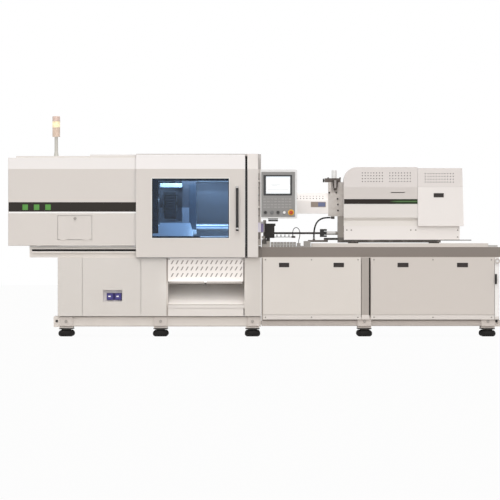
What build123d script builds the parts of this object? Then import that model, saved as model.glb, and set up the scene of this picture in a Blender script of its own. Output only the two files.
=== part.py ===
from build123d import *

import math
import os

# All-electric injection moulding machine, in millimetres.
# X runs along the machine from the clamp (-X) to the injection unit (+X), the operator stands at -Y,
# and Z is up from the floor. The machine is laid out from its fixed platen and its centre plane,
# and is moved to the middle of its own length and depth when it is written.

os.makedirs("parts", exist_ok=True)

# Divisions along the machine
fixed_platen_right = -60
platen_in_post = 21
drive_room = 324
door_width = 1090
door_gap = 25
post_width = 110
post_return = 25
split_gap = 5
end_room = 130
bed_overhang = 40

# Heights
foot_height = 85
foot_pad_height = 15
frame_beam_height = 100
base_height = 590
clamp_bed_height = 115
cover_clearance = 2
axis_above_base = 545
shoulder_above_axis = 340
cover_above_axis = 450
door_above_cover = 42

# Depths
platen_margin = 240
frame_setback = 40
door_stand_off = 45
door_band_lean = 90
cover_band_lean = 65

# Sheet metal
sheet = 3
sheet_bend = 3
door_return = 25
panel_proud = 3
panel_gap = 3
seat_gap = 0.3

# Levelling feet
foot_diameter = 155
foot_rubber_height = 65
foot_neck_height = 5
foot_setback = 60
stud_diameter = 24

# Base frames
channel_width = 80
channel_wall = 8
upright = 50
injection_beam_lift = 5
injection_beam_height = 60
foot_pad_length = 135
foot_pad_inside = 40
lug_hole = 25
lug_thickness = 12

# Sliding doors
door_travel = 1000
door_track_depth = 30
track_lip = 4

# Clamp
platen_width = 720
platen_height = 650
platen_corner = 60
platen_leg_setback = 15
fixed_platen_thickness = 190
moving_platen_thickness = 145
moving_platen_depth = 375
thrust_platen_thickness = 180
thrust_tube_length = 634
daylight_at_rest = 341
opening_travel = 350
closing_travel = 190
tie_bar_diameter = 75
tie_bar_edge_y = 92.5
tie_bar_edge_z = 82.5
tie_bar_clearance = 0.3
tie_nut_diameter = 120
tie_nut_length = 55
locating_bore = 125
locating_depth = 20
nozzle_hole = 70
mould_bolt_spacing = 280
mould_bolt_hole = 14
mould_bolt_depth = 35
robot_spacing_x = 110
robot_spacing_y = 280
platen_lift = 7
slideway_width = 80
slideway_under_platen = 10
shoe_width = 60

# Clamp drive
clamp_screw_diameter = 63
clamp_journal_diameter = 55
nut_clearance = 0.3
running_clearance = 0.05
thrust_tube_diameter = 190
thrust_tube_bore = 100
nut_length = 120
driven_pulley_diameter = 220
motor_pulley_diameter = 110
pulley_width = 56
belt_thickness = 6
belt_width = 48
motor_beside_platen = 100
motor_side = 180
motor_length = 300
ejector_travel = 80
ejector_plate_side = 220

# Injection unit
injection_bed_gap = 5
injection_bed_height = 100
rail_width = 30
rail_height = 26
rail_offset = 300
carriage_lift = 73
carriage_plate_thickness = 28
carriage_length = 1220
carriage_travel = 300
column_setback = 95
column_thickness = 58
barrel_diameter = 110
barrel_reach = 670
screw_diameter = 40
screw_clearance = 0.3
screw_travel = 160
nozzle_reach = 140
feed_block_length = 157
feed_block_below = 130
feed_block_above = 210
feed_block_width = 300
hopper_plate_thickness = 40
throat_setback = 60
throat_bore = 42
throat_tube_diameter = 50
throat_tube_height = 80
shutter_travel = 60
drive_offset = 340
drive_screw_lift = 139
drive_screw_diameter = 22

# Injection unit covers
front_cover_length = 741
unit_overhang = 25
unit_above_axis = 360
unit_shoulder_above_axis = 165
unit_above_carriage = 137
unit_face = 430
unit_fold_height = 55
unit_fold_rise = 30
unit_fold_depth = 33
unit_flange = 42
unit_band_lean = 30
unit_nose_radius = 135

# Operator panel
panel_overlap = 5
panel_width = 365
panel_below_axis = 155
panel_height = 490
panel_stand_off = 105
panel_depth = 60
pivot_inset = 11
pivot_gap = 18
pivot_radius = 14
button_above_edge = 60
button_radius = 14
button_travel = 4
stop_travel = 5

# Heights that follow from the sizes above
beam_bottom = foot_height + foot_pad_height
beam_top = beam_bottom + frame_beam_height
base_top = beam_top + base_height
bed_top = base_top + clamp_bed_height
cover_bottom = bed_top + cover_clearance
door_bottom = base_top
axis_height = base_top + axis_above_base
shoulder_height = axis_height + shoulder_above_axis
cover_top = axis_height + cover_above_axis
door_top = cover_top + door_above_cover
platen_bottom = axis_height - platen_height / 2
platen_top = axis_height + platen_height / 2
slideway_top = platen_bottom - platen_lift
injection_bed_bottom = base_top + injection_bed_gap
injection_bed_top = injection_bed_bottom + injection_bed_height
carriage_top = injection_bed_top + carriage_lift
drive_screw_height = injection_bed_top + drive_screw_lift
feed_block_bottom = axis_height - feed_block_below
feed_block_top = axis_height + feed_block_above
unit_top = axis_height + unit_above_axis
unit_shoulder = axis_height + unit_shoulder_above_axis
unit_bottom = carriage_top + unit_above_carriage
panel_bottom = axis_height - panel_below_axis
panel_top = panel_bottom + panel_height
button_height = panel_bottom + button_above_edge

# Places along the machine that follow from them
post_left = fixed_platen_right - platen_in_post
door_right = post_left - door_gap
door_left = door_right - door_width
cover_right = door_left
post_right = post_left + post_width + post_return
injection_left = post_right + split_gap
fixed_platen_left = fixed_platen_right - fixed_platen_thickness
moving_face = fixed_platen_left - daylight_at_rest
moving_back = moving_face - moving_platen_depth
nut_left = moving_back - thrust_tube_length
thrust_platen_right = nut_left - opening_travel - 20
thrust_platen_left = thrust_platen_right - thrust_platen_thickness
cover_left = thrust_platen_left - drive_room
nozzle_tip = fixed_platen_right - nozzle_reach
feed_block_left = injection_left + barrel_reach
feed_block_right = feed_block_left + feed_block_length
throat_x = feed_block_left + throat_setback
carriage_front = feed_block_left + column_setback
carriage_rear = carriage_front + carriage_length
machine_right = carriage_rear + carriage_travel + end_room
unit_left = carriage_front + column_thickness
unit_split = unit_left + front_cover_length
unit_right = carriage_rear + unit_overhang
panel_left = post_right - panel_overlap
panel_right = panel_left + panel_width
pivot_x = panel_left + pivot_inset

# Depths that follow from them
cover_face = platen_width / 2 + platen_margin
panel_face = cover_face
frame_face = cover_face - frame_setback
door_face = cover_face + door_stand_off
foot_inset = frame_face - foot_setback
tie_bar_spacing_y = platen_width - 2 * tie_bar_edge_y
tie_bar_spacing_z = platen_height - 2 * tie_bar_edge_z
slideway_inner = platen_width / 2 - slideway_under_platen
motor_offset = platen_width / 2 + motor_beside_platen
guard_roof_y = cover_face - 120
panel_front = door_face + panel_stand_off
pivot_y = panel_front - panel_depth - pivot_gap
handle_reach = door_face + 69
stop_front = panel_front + sheet + 12 + 15
length_shift = -(cover_left + machine_right) / 2
depth_shift = (stop_front - handle_reach) / 2


def block(x, y, z):
    """A box between low and high limits along X, Y and Z."""
    middle = [(low + high) / 2 for low, high in (x, y, z)]
    size = [high - low for low, high in (x, y, z)]
    return Pos(*middle) * Box(*size)


def rod_x(x, y, z, radius):
    return Pos((x[0] + x[1]) / 2, y, z) * Rot(0, 90, 0) * Cylinder(radius, x[1] - x[0])


def rod_y(x, y, z, radius):
    return Pos(x, (y[0] + y[1]) / 2, z) * Rot(90, 0, 0) * Cylinder(radius, y[1] - y[0])


def rod_z(x, y, z, radius):
    return Pos(x, y, (z[0] + z[1]) / 2) * Cylinder(radius, z[1] - z[0])


def tube_x(x, y, z, outer, inner):
    return rod_x(x, y, z, outer) - rod_x((x[0] - 1, x[1] + 1), y, z, inner)


def along_x(face, x):
    """A (Y, Z) face carried along X from its low to its high limit."""
    return extrude(Plane.YZ.offset(x[0]) * face, x[1] - x[0], dir=(1, 0, 0))


def along_y(face, y):
    """An (X, Z) face carried along Y between its limits."""
    return extrude(Plane.XZ.offset(-y[1]) * face, y[1] - y[0], dir=(0, -1, 0))


def prism_x(outline, x):
    """A straight piece along X from its (Y, Z) outline."""
    return along_x(Polygon(*outline, align=None), x)


def prism_y(outline, y):
    """A straight piece along Y from its (X, Z) outline."""
    return along_y(Polygon(*outline, align=None), y)


def far(shape):
    """The same piece on the side away from the operator."""
    return mirror(shape, about=Plane.XZ)


def both(shape):
    """A piece and its copy on the other side, left as separate solids."""
    return [shape, far(shape)]


def directions(points):
    """Unit vectors of each stretch of a bent line."""
    pairs = zip(points, points[1:])
    return [(Vector(*end) - Vector(*start)).normalized() for start, end in pairs]


def left_line(points, distance):
    """The bent line moved to its left by a distance, with mitred corners."""
    ways = directions(points)
    before = [ways[0]] + ways
    after = ways + [ways[-1]]
    moved = []
    for point, b, a in zip(points, before, after):
        share = distance / (1 + b.dot(a))
        moved.append((point[0] - (b.Y + a.Y) * share, point[1] + (b.X + a.X) * share))
    return moved


def folded(points, thickness, bend):
    """Section of a bent sheet, whose thickness lies to the left of its points."""
    inner = left_line(points, thickness)
    ways = directions(points)
    turns = [b.cross(a).Z > 0 for b, a in zip(ways, ways[1:])]
    outer_radii = [bend + thickness if left else bend for left in turns]
    inner_radii = [bend if left else bend + thickness for left in turns]
    edges = [
        FilletPolyline(*points, radius=outer_radii),
        FilletPolyline(*inner, radius=inner_radii),
        Line(points[0], inner[0]),
        Line(points[-1], inner[-1]),
    ]
    return make_face(edges)


def bent_sheet_x(points, x, thickness=sheet, bend=sheet_bend):
    """A sheet folded along lines that run in X, from its (Y, Z) line."""
    return along_x(folded(points, thickness, bend), x)


def tray(x, z, face, back=frame_face):
    """A front panel with its four edges folded back as far as its seat, open behind."""
    outer = block(x, (-face, -back), z)
    inside_x = (x[0] + sheet, x[1] - sheet)
    inside_z = (z[0] + sheet, z[1] - sheet)
    return outer - block(inside_x, (-face + sheet, -back + 1), inside_z)


def save(name, *pieces):
    """Write one sub-part. Pieces that touch stay separate solids."""
    solids = [Pos(length_shift, depth_shift, 0) * solid for piece in pieces for solid in piece.solids()]
    export_step(solids[0] if len(solids) == 1 else Compound(solids), f"parts/{name}.step")


# Base frames

def channel(x, z):
    """A channel along X with its web outward, on the operator's side."""
    line = [(-frame_face + channel_width, z[1]), (-frame_face, z[1])]
    line += [(-frame_face, z[0]), (-frame_face + channel_width, z[0])]
    return bent_sheet_x(line, x, channel_wall, channel_wall / 2)


def foot_seat(place, z):
    """The pad under a channel, with its inner plate and the hole for a levelling foot's stud."""
    at = (place - foot_pad_length / 2, place + foot_pad_length / 2)
    flange_edge = -frame_face + channel_width
    pad = block(at, (-frame_face, flange_edge + foot_pad_inside), (foot_height, z))
    pad += block(at, (flange_edge, flange_edge + foot_pad_inside), (z, z + channel_wall))
    return pad - rod_z(place, -foot_inset, (foot_height - 1, z + channel_wall + 1), stud_diameter / 2 + 1)


def lifting_lug(x, z):
    """A plate on the channel's web with a hole for a shackle."""
    low, high = -frame_face - lug_thickness, -frame_face
    plate = block((x - 32, x + 32), (low, high), (z[0] - 5, z[1] + 2))
    return plate - rod_y(x, (low - 1, high + 1), (z[0] + z[1]) / 2, lug_hole / 2)


def base_frame(x, z, top, feet, lug_x, posts):
    """A welded frame's members: channels, uprights, top rails, foot pads, lifting lugs and cross members."""
    beam = channel(x, z)
    for place in feet:
        beam -= rod_z(place, -foot_inset, (z[0] - 1, z[0] + channel_wall + 1), stud_diameter / 2 + 1)
    side = [beam, lifting_lug(lug_x, z)]
    side += [foot_seat(place, z[0]) for place in feet]
    for place in posts:
        side.append(block((place, place + upright), (-frame_face, -frame_face + upright), (z[1], top)))
    for low, high in zip(posts, posts[1:]):
        rail_y = (-frame_face, -frame_face + upright / 2)
        side.append(block((low + upright, high), rail_y, (top - upright, top)))
    members = side + [far(member) for member in side]
    inside = frame_face - 1.5 * channel_wall
    for place in posts:
        at = (place, place + upright)
        members.append(block(at, (-inside, inside), (z[0] + channel_wall, z[1] - channel_wall)))
    return members


clamp_left = cover_left + 498
drop_right = fixed_platen_left - 80
drop_left = drop_right - 570
bay_left = drop_left + 24
bay_right = post_left - 40
clamp_middle_post = bay_left - 2 - upright
clamp_posts = (clamp_left, clamp_middle_post, post_right - upright)
clamp_foot_places = (clamp_left + 80, clamp_middle_post - 23, post_right - 85)
clamp_frame = base_frame((clamp_left, post_right), (beam_bottom, beam_top), base_top,
                         clamp_foot_places, clamp_left - 12, clamp_posts)
save("clamp_frame", *clamp_frame)

injection_end = machine_right - bed_overhang
injection_beam_bottom = beam_bottom + injection_beam_lift
injection_beam = (injection_beam_bottom, injection_beam_bottom + injection_beam_height)
injection_middle_post = injection_left + 1053
injection_posts = (injection_left, injection_middle_post, injection_end - upright)
injection_foot_places = (injection_middle_post - 23, injection_end - 110)
injection_frame = base_frame((injection_left, injection_end), injection_beam, injection_bed_bottom,
                             injection_foot_places, injection_end - 20, injection_posts)
spacer_z = (injection_beam[0] + 15, injection_beam[1] - 15)
spacer = block((post_right, injection_left), (-frame_face + 90, -frame_face + 130), spacer_z)
save("injection_frame", *injection_frame, *both(spacer))


def levelling_foot(x, y, seat):
    """A rubber pad, its steel plate and threaded stud, and the lock nut above the frame's pad."""
    radius = foot_diameter / 2
    pad = Cylinder(radius, foot_rubber_height, align=(Align.CENTER, Align.CENTER, Align.MIN))
    pad = fillet(pad.edges().group_by(Axis.Z)[-1], 10)
    plate_low = foot_rubber_height + foot_neck_height
    neck = rod_z(0, 0, (foot_rubber_height, plate_low), radius / 2)
    plate = rod_z(0, 0, (plate_low, foot_height), radius - 3)
    stud = rod_z(0, 0, (foot_height, seat + 30), stud_diameter / 2)
    nut = extrude(Pos(0, 0, seat) * RegularPolygon(20, 6), 18)
    nut -= rod_z(0, 0, (seat - 1, seat + 19), stud_diameter / 2)
    return [Pos(x, y, 0) * piece for piece in (pad, neck + plate + stud, nut)]


feet = []
for x in clamp_foot_places:
    feet += levelling_foot(x, -foot_inset, beam_bottom + channel_wall)
for x in injection_foot_places:
    feet += levelling_foot(x, -foot_inset, injection_beam[0] + channel_wall)
feet += [far(piece) for piece in feet]
save("levelling_feet", *feet)

# Beds

def bed_side(x, z, inner, top_plate=20, wall=15):
    """One side beam of a bed, open below."""
    outline = [(-frame_face, z[0]), (-frame_face, z[1]), (-inner, z[1]), (-inner, z[0])]
    outline += [(-inner - wall, z[0]), (-inner - wall, z[1] - top_plate)]
    outline += [(-frame_face + wall, z[1] - top_plate), (-frame_face + wall, z[0])]
    return prism_x(outline, x)


bed_left = cover_left + 213
bed_inner = platen_width / 2 - 70
slideway_y = (-slideway_inner - slideway_width, -slideway_inner)
slideway_left = moving_back - opening_travel - 130
side = bed_side((bed_left, post_right), (base_top, bed_top), bed_inner)
slideway = block((slideway_left, fixed_platen_left), slideway_y, (bed_top, slideway_top))
bridges = [block(x, (-bed_inner, bed_inner), (bed_top - 40, bed_top))
           for x in ((bed_left, drop_left), (drop_right, post_right))]
save("clamp_bed", *both(side), *both(slideway), *bridges)

injection_bed_inner = 240
bed_z = (injection_bed_bottom, injection_bed_top)
side = bed_side((injection_left, machine_right), bed_z, injection_bed_inner)
bridge_places = (injection_left, injection_left + 941, machine_right - 120)
bridges = [block((low, low + 120), (-injection_bed_inner, injection_bed_inner),
                 (injection_bed_top - 40, injection_bed_top)) for low in bridge_places]
save("injection_bed", *both(side), *bridges)

rail = block((injection_left + 541, machine_right - 174),
             (-rail_offset - rail_width / 2, -rail_offset + rail_width / 2),
             (injection_bed_top, injection_bed_top + rail_height))
end_stop = block((machine_right - 150, machine_right - 50), (-rail_offset - 30, -rail_offset + 30),
                 (injection_bed_top, injection_bed_top + 20))
save("bed_rails", *both(rail), *both(end_stop))

# Panels round the clamp base

bay_sill = beam_top + 115
vent_bottom = base_top - 240
panel_z = (beam_top + panel_gap, base_top - panel_gap)
seams = (clamp_left, clamp_left + 245, clamp_left + 830, clamp_middle_post + 39)
socket_x = (seams[1] + 205, seams[1] + 397)
socket_z = (beam_top + 150, beam_top + 265)
socket_depth = 60

base_panels = []
for low, high in zip(seams, seams[1:]):
    base_panels.append(tray((low, high - panel_gap), panel_z, panel_face))
socket_panel = base_panels.pop(1)
socket_panel -= block(socket_x, (-panel_face - 1, -panel_face + 30), socket_z)
niche_x = (socket_x[0] - sheet, socket_x[1] + sheet)
niche_z = (socket_z[0] - sheet, socket_z[1] + sheet)
niche = block(niche_x, (-panel_face + sheet, -panel_face + socket_depth), niche_z)
niche -= block(socket_x, (-panel_face, -panel_face + socket_depth - sheet), socket_z)
bay_post = clamp_posts[1] + upright
bay_walls = ((bay_post, bay_post + sheet), (bay_right + 10, bay_right + 10 + sheet))
sill = tray((bay_walls[0][1], bay_walls[1][0]), (bay_sill - 30, bay_sill), panel_face + panel_proud,
            frame_face - 15)
base_panels.append(sill)
base_panels.append(tray((bay_left, bay_right), (panel_z[0], bay_sill - 30 - panel_gap), panel_face))
lower_post = tray((bay_right + 10, post_right), (panel_z[0], panel_z[1]), panel_face)
base_panels.append(lower_post)
for x in bay_walls:
    base_panels.append(block(x, (-frame_face, frame_face), (panel_z[0], base_top - upright)))
rear = far(tray((clamp_left, post_right), panel_z, panel_face))
base_panels.append(rear)
end_y = (-frame_face, frame_face)
base_panels.append(block((clamp_left - sheet, clamp_left), end_y, panel_z))
save("base_panels", *base_panels)

# The slotted panel over the chute
slot_columns = 15
slot_rows = (base_top - 47.5, base_top - 110, base_top - 175)
slot_height = 38
slot_width = 13
slot_lean = 20
slot_first = bay_left + 37
slot_pitch = (bay_right - bay_left - 67.6) / (slot_columns - 1)


def slanted_slot(x, z):
    """A leaning slot cut through a front panel."""
    low, high = z - slot_height / 2, z + slot_height / 2
    outline = [(x - slot_lean / 2, low), (x - slot_lean / 2 + slot_width, low)]
    outline += [(x + slot_lean / 2 + slot_width, high), (x + slot_lean / 2, high)]
    return prism_y(outline, (-panel_face - 10, -panel_face + 5))


vent_panel = tray((bay_left, bay_right - 2), (vent_bottom, panel_z[1]), panel_face + panel_proud)
slots = [slanted_slot(slot_first + i * slot_pitch, z) for i in range(slot_columns) for z in slot_rows]
vent_panel -= slots
latch_x = (bay_left + bay_right) / 2 - 2.5
vent_panel += block((latch_x - 12, latch_x + 12), (-panel_face - panel_proud, -panel_face),
                    (vent_bottom - 35, vent_bottom))
save("vent_panel", vent_panel)

# The chute that mouldings slide down, from under the mould space to the front bay
chute_line = [(bed_inner - 40, base_top - 10), (-frame_face + 5, bay_sill + 3)]
chute_x = (bay_walls[0][1], bay_walls[1][0])
chute_outline = chute_line + list(reversed(left_line(chute_line, -4)))
save("chute", prism_x(chute_outline, chute_x))


def power_socket(x):
    """A panel socket outlet: square flange, round collar and three pin holes."""
    z = (socket_z[0] + socket_z[1]) / 2 - 8
    back = -panel_face + socket_depth - sheet
    body = block((x - 34, x + 34), (back - 14, back), (z - 35, z + 35))
    body += rod_y(x, (back - 34, back - 14), z, 28)
    body -= rod_y(x, (back - 35, back - 12), z, 22)
    for angle in (90, 210, 330):
        px = x + 12 * math.cos(math.radians(angle))
        pz = z + 12 * math.sin(math.radians(angle))
        body -= block((px - 3, px + 3), (back - 13, back - 4), (pz - 3, pz + 3))
    return body


sockets = [power_socket(socket_x[0] + 71), power_socket(socket_x[0] + 152)]
save("power_sockets", *sockets, socket_panel, niche)

# Covers of the clamp

cover_x = (cover_left + sheet + 1, cover_right)
cover_line = [(-cover_face + cover_band_lean, cover_top), (-cover_face, shoulder_height)]
cover_line += [(-cover_face, cover_bottom), (-cover_face + 25, cover_bottom)]
cover_side = bent_sheet_x(cover_line, cover_x)
hatch_x = (cover_left + 493, cover_left + 838)
hatch_z = (cover_bottom + 58, cover_bottom + 303)
hatch_opening = block(hatch_x, (-cover_face - 1, -cover_face + 20), hatch_z)
cover_front = cover_side - hatch_opening
hinge_radius = 3.5
hinge_pin = 1.6
hinge_z = hatch_z[0] + 1
hinge_places = (hatch_x[0] + 60, hatch_x[1] - 60)
knuckle = 30
for x in hinge_places:
    pin = rod_x((x - knuckle, x + knuckle), -cover_face, hinge_z, hinge_pin)
    for low, high in ((x - knuckle, x - knuckle / 2 - 1), (x + knuckle / 2 + 1, x + knuckle)):
        barrel_piece = rod_x((low, high), -cover_face, hinge_z, hinge_radius)
        leaf = block((low, high), (-cover_face - 1.2, -cover_face), (hinge_z - 14, hinge_z))
        pin += barrel_piece + leaf
    cover_front -= rod_x((x - knuckle / 2 - 1, x + knuckle / 2 + 1), -cover_face, hinge_z,
                         hinge_radius + seat_gap)
    cover_front += pin
save("cover_front", cover_front)
save("cover_rear", far(cover_side))

roof = block(cover_x, (-cover_face + cover_band_lean, cover_face - cover_band_lean),
             (cover_top, cover_top + sheet))
hood_x = (cover_left + 818, cover_right - 2)
hood_y = guard_roof_y
hood = block(hood_x, (-hood_y, hood_y), (cover_top + sheet, cover_top + 35))
hood_inside = (hood_x[0] + sheet, hood_x[1] - sheet)
hood -= block(hood_inside, (-hood_y + sheet, hood_y - sheet), (cover_top, cover_top + 35 - sheet))
save("cover_roof", roof, hood)

end_outline = [(-cover_face, cover_bottom), (-cover_face, shoulder_height)]
end_outline += [(-cover_face + cover_band_lean, cover_top + sheet)]
end_outline += [(cover_face - cover_band_lean, cover_top + sheet)]
end_outline += [(cover_face, shoulder_height), (cover_face, cover_bottom)]
cover_end = prism_x(end_outline, (cover_left, cover_left + sheet))
seat_y = (-bed_inner - 10, bed_inner + 10)
cover_end += block((cover_left, bed_left + 60), seat_y, (cover_bottom, cover_bottom + sheet))
cover_end += block((bed_left, bed_left + 60), seat_y, (bed_top, cover_bottom))
save("cover_end", cover_end)

# The access hatch, hinged along its lower edge, and its quarter-turn lock
hatch_panel_x = (hatch_x[0] + panel_gap, hatch_x[1] - panel_gap)
hatch_panel_z = (hatch_z[0] + panel_gap + 2, hatch_z[1] - panel_gap)
hatch = block(hatch_panel_x, (-cover_face, -cover_face + sheet), hatch_panel_z)
for x in hinge_places:
    at = (x - knuckle / 2, x + knuckle / 2)
    lug = rod_x(at, -cover_face, hinge_z, hinge_radius)
    lug += block(at, (-cover_face - 1.2, -cover_face), (hinge_z, hinge_z + 14))
    hatch += lug
    hatch -= rod_x((at[0] - 1, at[1] + 1), -cover_face, hinge_z, hinge_pin + 0.3)
lock_x = hatch_x[0] + 175
lock_z = hatch_z[1] - 30
lock_radius = 11
hatch -= rod_y(lock_x, (-cover_face - 1, -cover_face + sheet + 1), lock_z, lock_radius + 0.3)
save("access_hatch", hatch)
lock = rod_y(lock_x, (-cover_face - 6, -cover_face + 8), lock_z, lock_radius)
lock += rod_y(lock_x, (-cover_face - 8, -cover_face - 6), lock_z, lock_radius + 4)
lock -= block((lock_x - 2, lock_x + 2), (-cover_face - 9, -cover_face - 5), (lock_z - 8, lock_z + 8))
lock += block((lock_x - 34, lock_x + 8), (-cover_face + 4.5, -cover_face + 8), (lock_z - 8, lock_z + 8))
save("hatch_lock", lock)

# Signal tower

tower_x = cover_left + 478
tower_y = -(cover_face - 200)
tower_foot = cover_top + sheet
lamp_radius = 38.5
lamp_levels = (cover_top + 212, cover_top + 305, cover_top + 370, cover_top + 420)
pole_radius = 17.5
post = block((tower_x - 40, tower_x + 60), (tower_y - 40, tower_y + 40), (tower_foot, tower_foot + 14))
cone_height = 50
cone = Pos(tower_x, tower_y, tower_foot + 14) * Cone(
    25, pole_radius, cone_height, align=(Align.CENTER, Align.CENTER, Align.MIN))
post += cone
post += rod_z(tower_x, tower_y, (tower_foot + 14, lamp_levels[0]), pole_radius)
save("signal_post", post)
lamps = []
for low, high in zip(lamp_levels, lamp_levels[1:]):
    lamps.append(rod_z(tower_x, tower_y, (low, high), lamp_radius))
lamps[-1] = fillet(lamps[-1].edges().group_by(Axis.Z)[-1], 6)
save("signal_lamps", *lamps)

# Fixed guard round the mould space

guard_edge = guard_roof_y + 20
shelf = cover_top + sheet
post_line = [(-guard_edge, door_top), (-door_face + door_band_lean, door_top)]
post_line += [(-door_face, shoulder_height), (-door_face, door_bottom), (-frame_face, door_bottom)]
post_face_x = (post_left, post_left + post_width)
front_post = bent_sheet_x(post_line, post_face_x)
side_outline = [(-guard_edge, bed_top), (-guard_edge, door_top - 1)]
side_outline += [(-door_face + door_band_lean, door_top - 1)]
side_outline += [(-door_face + 1, shoulder_height), (-door_face + 1, door_bottom)]
side_outline += [(-frame_face, door_bottom), (-frame_face, bed_top)]
for x in (post_left, post_left + post_width - sheet):
    front_post += prism_x(side_outline, (x, x + sheet))
return_top = door_top - 3
side_cap = block((post_left + post_width, post_right), (-door_face + 35, -guard_edge),
                 (bed_top + 5, return_top))
side_cap = fillet(side_cap.edges().filter_by(Axis.X).group_by(Axis.Z)[-1].sort_by(Axis.Y)[0], 60)
front_post += side_cap
left_post_x = (door_left + 6, door_left + 46)
left_post = block(left_post_x, (-frame_face, -guard_edge - 20), (bed_top, cover_top))
top_shelf = block((left_post_x[0], post_left), (-guard_edge - 35, -guard_roof_y), (cover_top - 3, shelf))
left_post += top_shelf
bumper_z = (door_bottom + 10, shoulder_height - 15)
bumper = block((door_right + 2, post_left), (-door_face + 3, -door_face + 20), bumper_z)
seal_back = block((post_left - 20, post_left), (-door_face + 20, -door_face + 30), bumper_z)
roof = block((left_post_x[0], post_left), (-guard_roof_y, guard_roof_y), (door_top - sheet, door_top))
roof += block((left_post_x[0], left_post_x[0] + 40), (-guard_roof_y, guard_roof_y), (cover_top, door_top))
lip = block((left_post_x[0], post_left), (-guard_roof_y, -guard_roof_y + sheet), (shelf - 3, door_top))
roof += lip + far(lip)
robot_x = (fixed_platen_left - 510, fixed_platen_left - 80)
robot_y = platen_width / 2 - 30
roof -= block(robot_x, (-robot_y, robot_y), (door_top - 10, door_top + 10))
right_beam = block((post_left, post_left + post_width), (-guard_edge - 10, guard_edge + 10),
                   (door_top - 40, door_top))
frame_solid = front_post + left_post
guard = frame_solid + far(frame_solid) + roof + right_beam
pivot_arms = (panel_bottom + 116, panel_bottom + 376)
arm_height = 20
for z in pivot_arms:
    arm = rod_z(pivot_x, -pivot_y, (z - arm_height / 2, z + arm_height / 2), pivot_radius)
    arm_z = (z - arm_height / 2, z + arm_height / 2)
    arm += block((post_right - 30, pivot_x), (-pivot_y + pivot_radius + 1, -cover_face), arm_z)
    arm += block((pivot_x - pivot_radius + 2, pivot_x + pivot_radius - 2),
                 (-pivot_y, -pivot_y + pivot_radius + 1), arm_z)
    guard += arm
pin_z = (pivot_arms[0] + arm_height / 2, pivot_arms[1] - arm_height / 2)
guard += rod_z(pivot_x, -pivot_y, pin_z, 6)
save("guard_frame", guard, bumper, seal_back, far(bumper), far(seal_back))

# Door tracks: a slotted rail on each side of the bed and a bar on each side of the roof
track_z = (base_top + 50, base_top + 90)
slot_z = (track_z[0] + 10, track_z[1] - 10)
roller_radius = (slot_z[1] - slot_z[0]) / 2 - 0.5
lower_x = (door_left - door_travel - 40, door_right)
lower_track = block(lower_x, (-frame_face - door_track_depth, -frame_face), track_z)
lower_track -= block(lower_x, (-frame_face - door_track_depth, -frame_face - track_lip), slot_z)
upper_bar_y = (-guard_edge - 30, -guard_edge - 15)
upper_track = block((door_left - door_travel - 200, door_right - 4), upper_bar_y, (shelf, shelf + 17))
save("door_tracks", *both(lower_track), *both(upper_track))

# Sliding doors

window_x = (door_left + 160, door_right - 160)
window_z = (base_top + 195, shoulder_height - 95)
window_frame = 15
window_overlap = 9
glass_thickness = 6


def door_shell():
    """A door as one folded sheet, with end returns, guide shoes and roller brackets."""
    line = [(-guard_roof_y - 10, door_top), (-door_face + door_band_lean, door_top)]
    line += [(-door_face, shoulder_height)]
    line += [(-door_face, door_bottom), (-door_face + door_return, door_bottom)]
    shell = bent_sheet_x(line, (door_left, door_right))
    edge = [(-door_face + door_band_lean, door_top - 1), (-door_face + 1, shoulder_height)]
    edge += [(-door_face + 1, door_bottom)]
    edge_outline = edge + list(reversed(left_line(edge, door_return - 1)))
    for x in (door_left, door_right - sheet):
        shell += prism_x(edge_outline, (x, x + sheet))
    bar_middle = (upper_bar_y[0] + upper_bar_y[1]) / 2
    for x in (door_left + 60, door_right - 60):
        shoe = block((x - 30, x + 30), (bar_middle - 18, bar_middle + 18), (shelf + 4, door_top - sheet))
        shoe -= block((x - 31, x + 31), (upper_bar_y[0] - 1, upper_bar_y[1] + 1), (shelf, shelf + 18))
        bracket = block((x - 20, x + 20), (-door_face + sheet, -frame_face - door_track_depth - 6), track_z)
        roller = rod_y(x, (-frame_face - door_track_depth - 6, -frame_face - 6),
                       (slot_z[0] + slot_z[1]) / 2, roller_radius)
        shell += shoe + bracket + roller
    return shell


front_door = door_shell()
frame_x = (window_x[0] - window_frame, window_x[1] + window_frame)
frame_z = (window_z[0] - window_frame, window_z[1] + window_frame)
frame_back = -door_face + 17
front_door += block(frame_x, (-door_face - 2, frame_back), frame_z)
front_door -= block(window_x, (-door_face - 5, frame_back + 5), window_z)
save("front_door", front_door)
glass_x = (window_x[0] - window_overlap, window_x[1] + window_overlap)
glass_z = (window_z[0] - window_overlap, window_z[1] + window_overlap)
save("front_window", block(glass_x, (frame_back, frame_back + glass_thickness), glass_z))
save("rear_door", far(door_shell()))

handle_x = door_right - 78
handle_z = (axis_height - 280, axis_height + 170)
handle_radius = 10
handle_y = -(handle_reach - 14)


def door_handle():
    """A bar handle: two round feet, end sleeves and the grip between them."""
    grip_z = (handle_z[0] + 55, handle_z[1] - 35)
    pieces = [rod_z(handle_x, handle_y, grip_z, handle_radius)]
    for low, high in ((handle_z[0], grip_z[0]), (grip_z[1], handle_z[1])):
        end = rod_z(handle_x, handle_y, (low, high), 14)
        end += rod_y(handle_x, (handle_y, -door_face), (low + high) / 2, 10)
        pieces.append(end)
    return pieces


save("front_handle", *door_handle())
save("rear_handle", *[far(piece) for piece in door_handle()])

# Platens and tie bars

tie_places = [(y * tie_bar_spacing_y / 2, axis_height + z * tie_bar_spacing_z / 2)
              for y in (-1, 1) for z in (-1, 1)]
foot_y = (-platen_width / 2 - 40, -platen_width / 2 + 110)


def platen_plate(x):
    """A platen's main plate with rounded corners."""
    y = (-platen_width / 2, platen_width / 2)
    plate = block(x, y, (platen_bottom, platen_top))
    return fillet(plate.edges().filter_by(Axis.X), platen_corner)


def holes_x(x, places, radius):
    return [rod_x(x, y, z, radius) for y, z in places]


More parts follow.
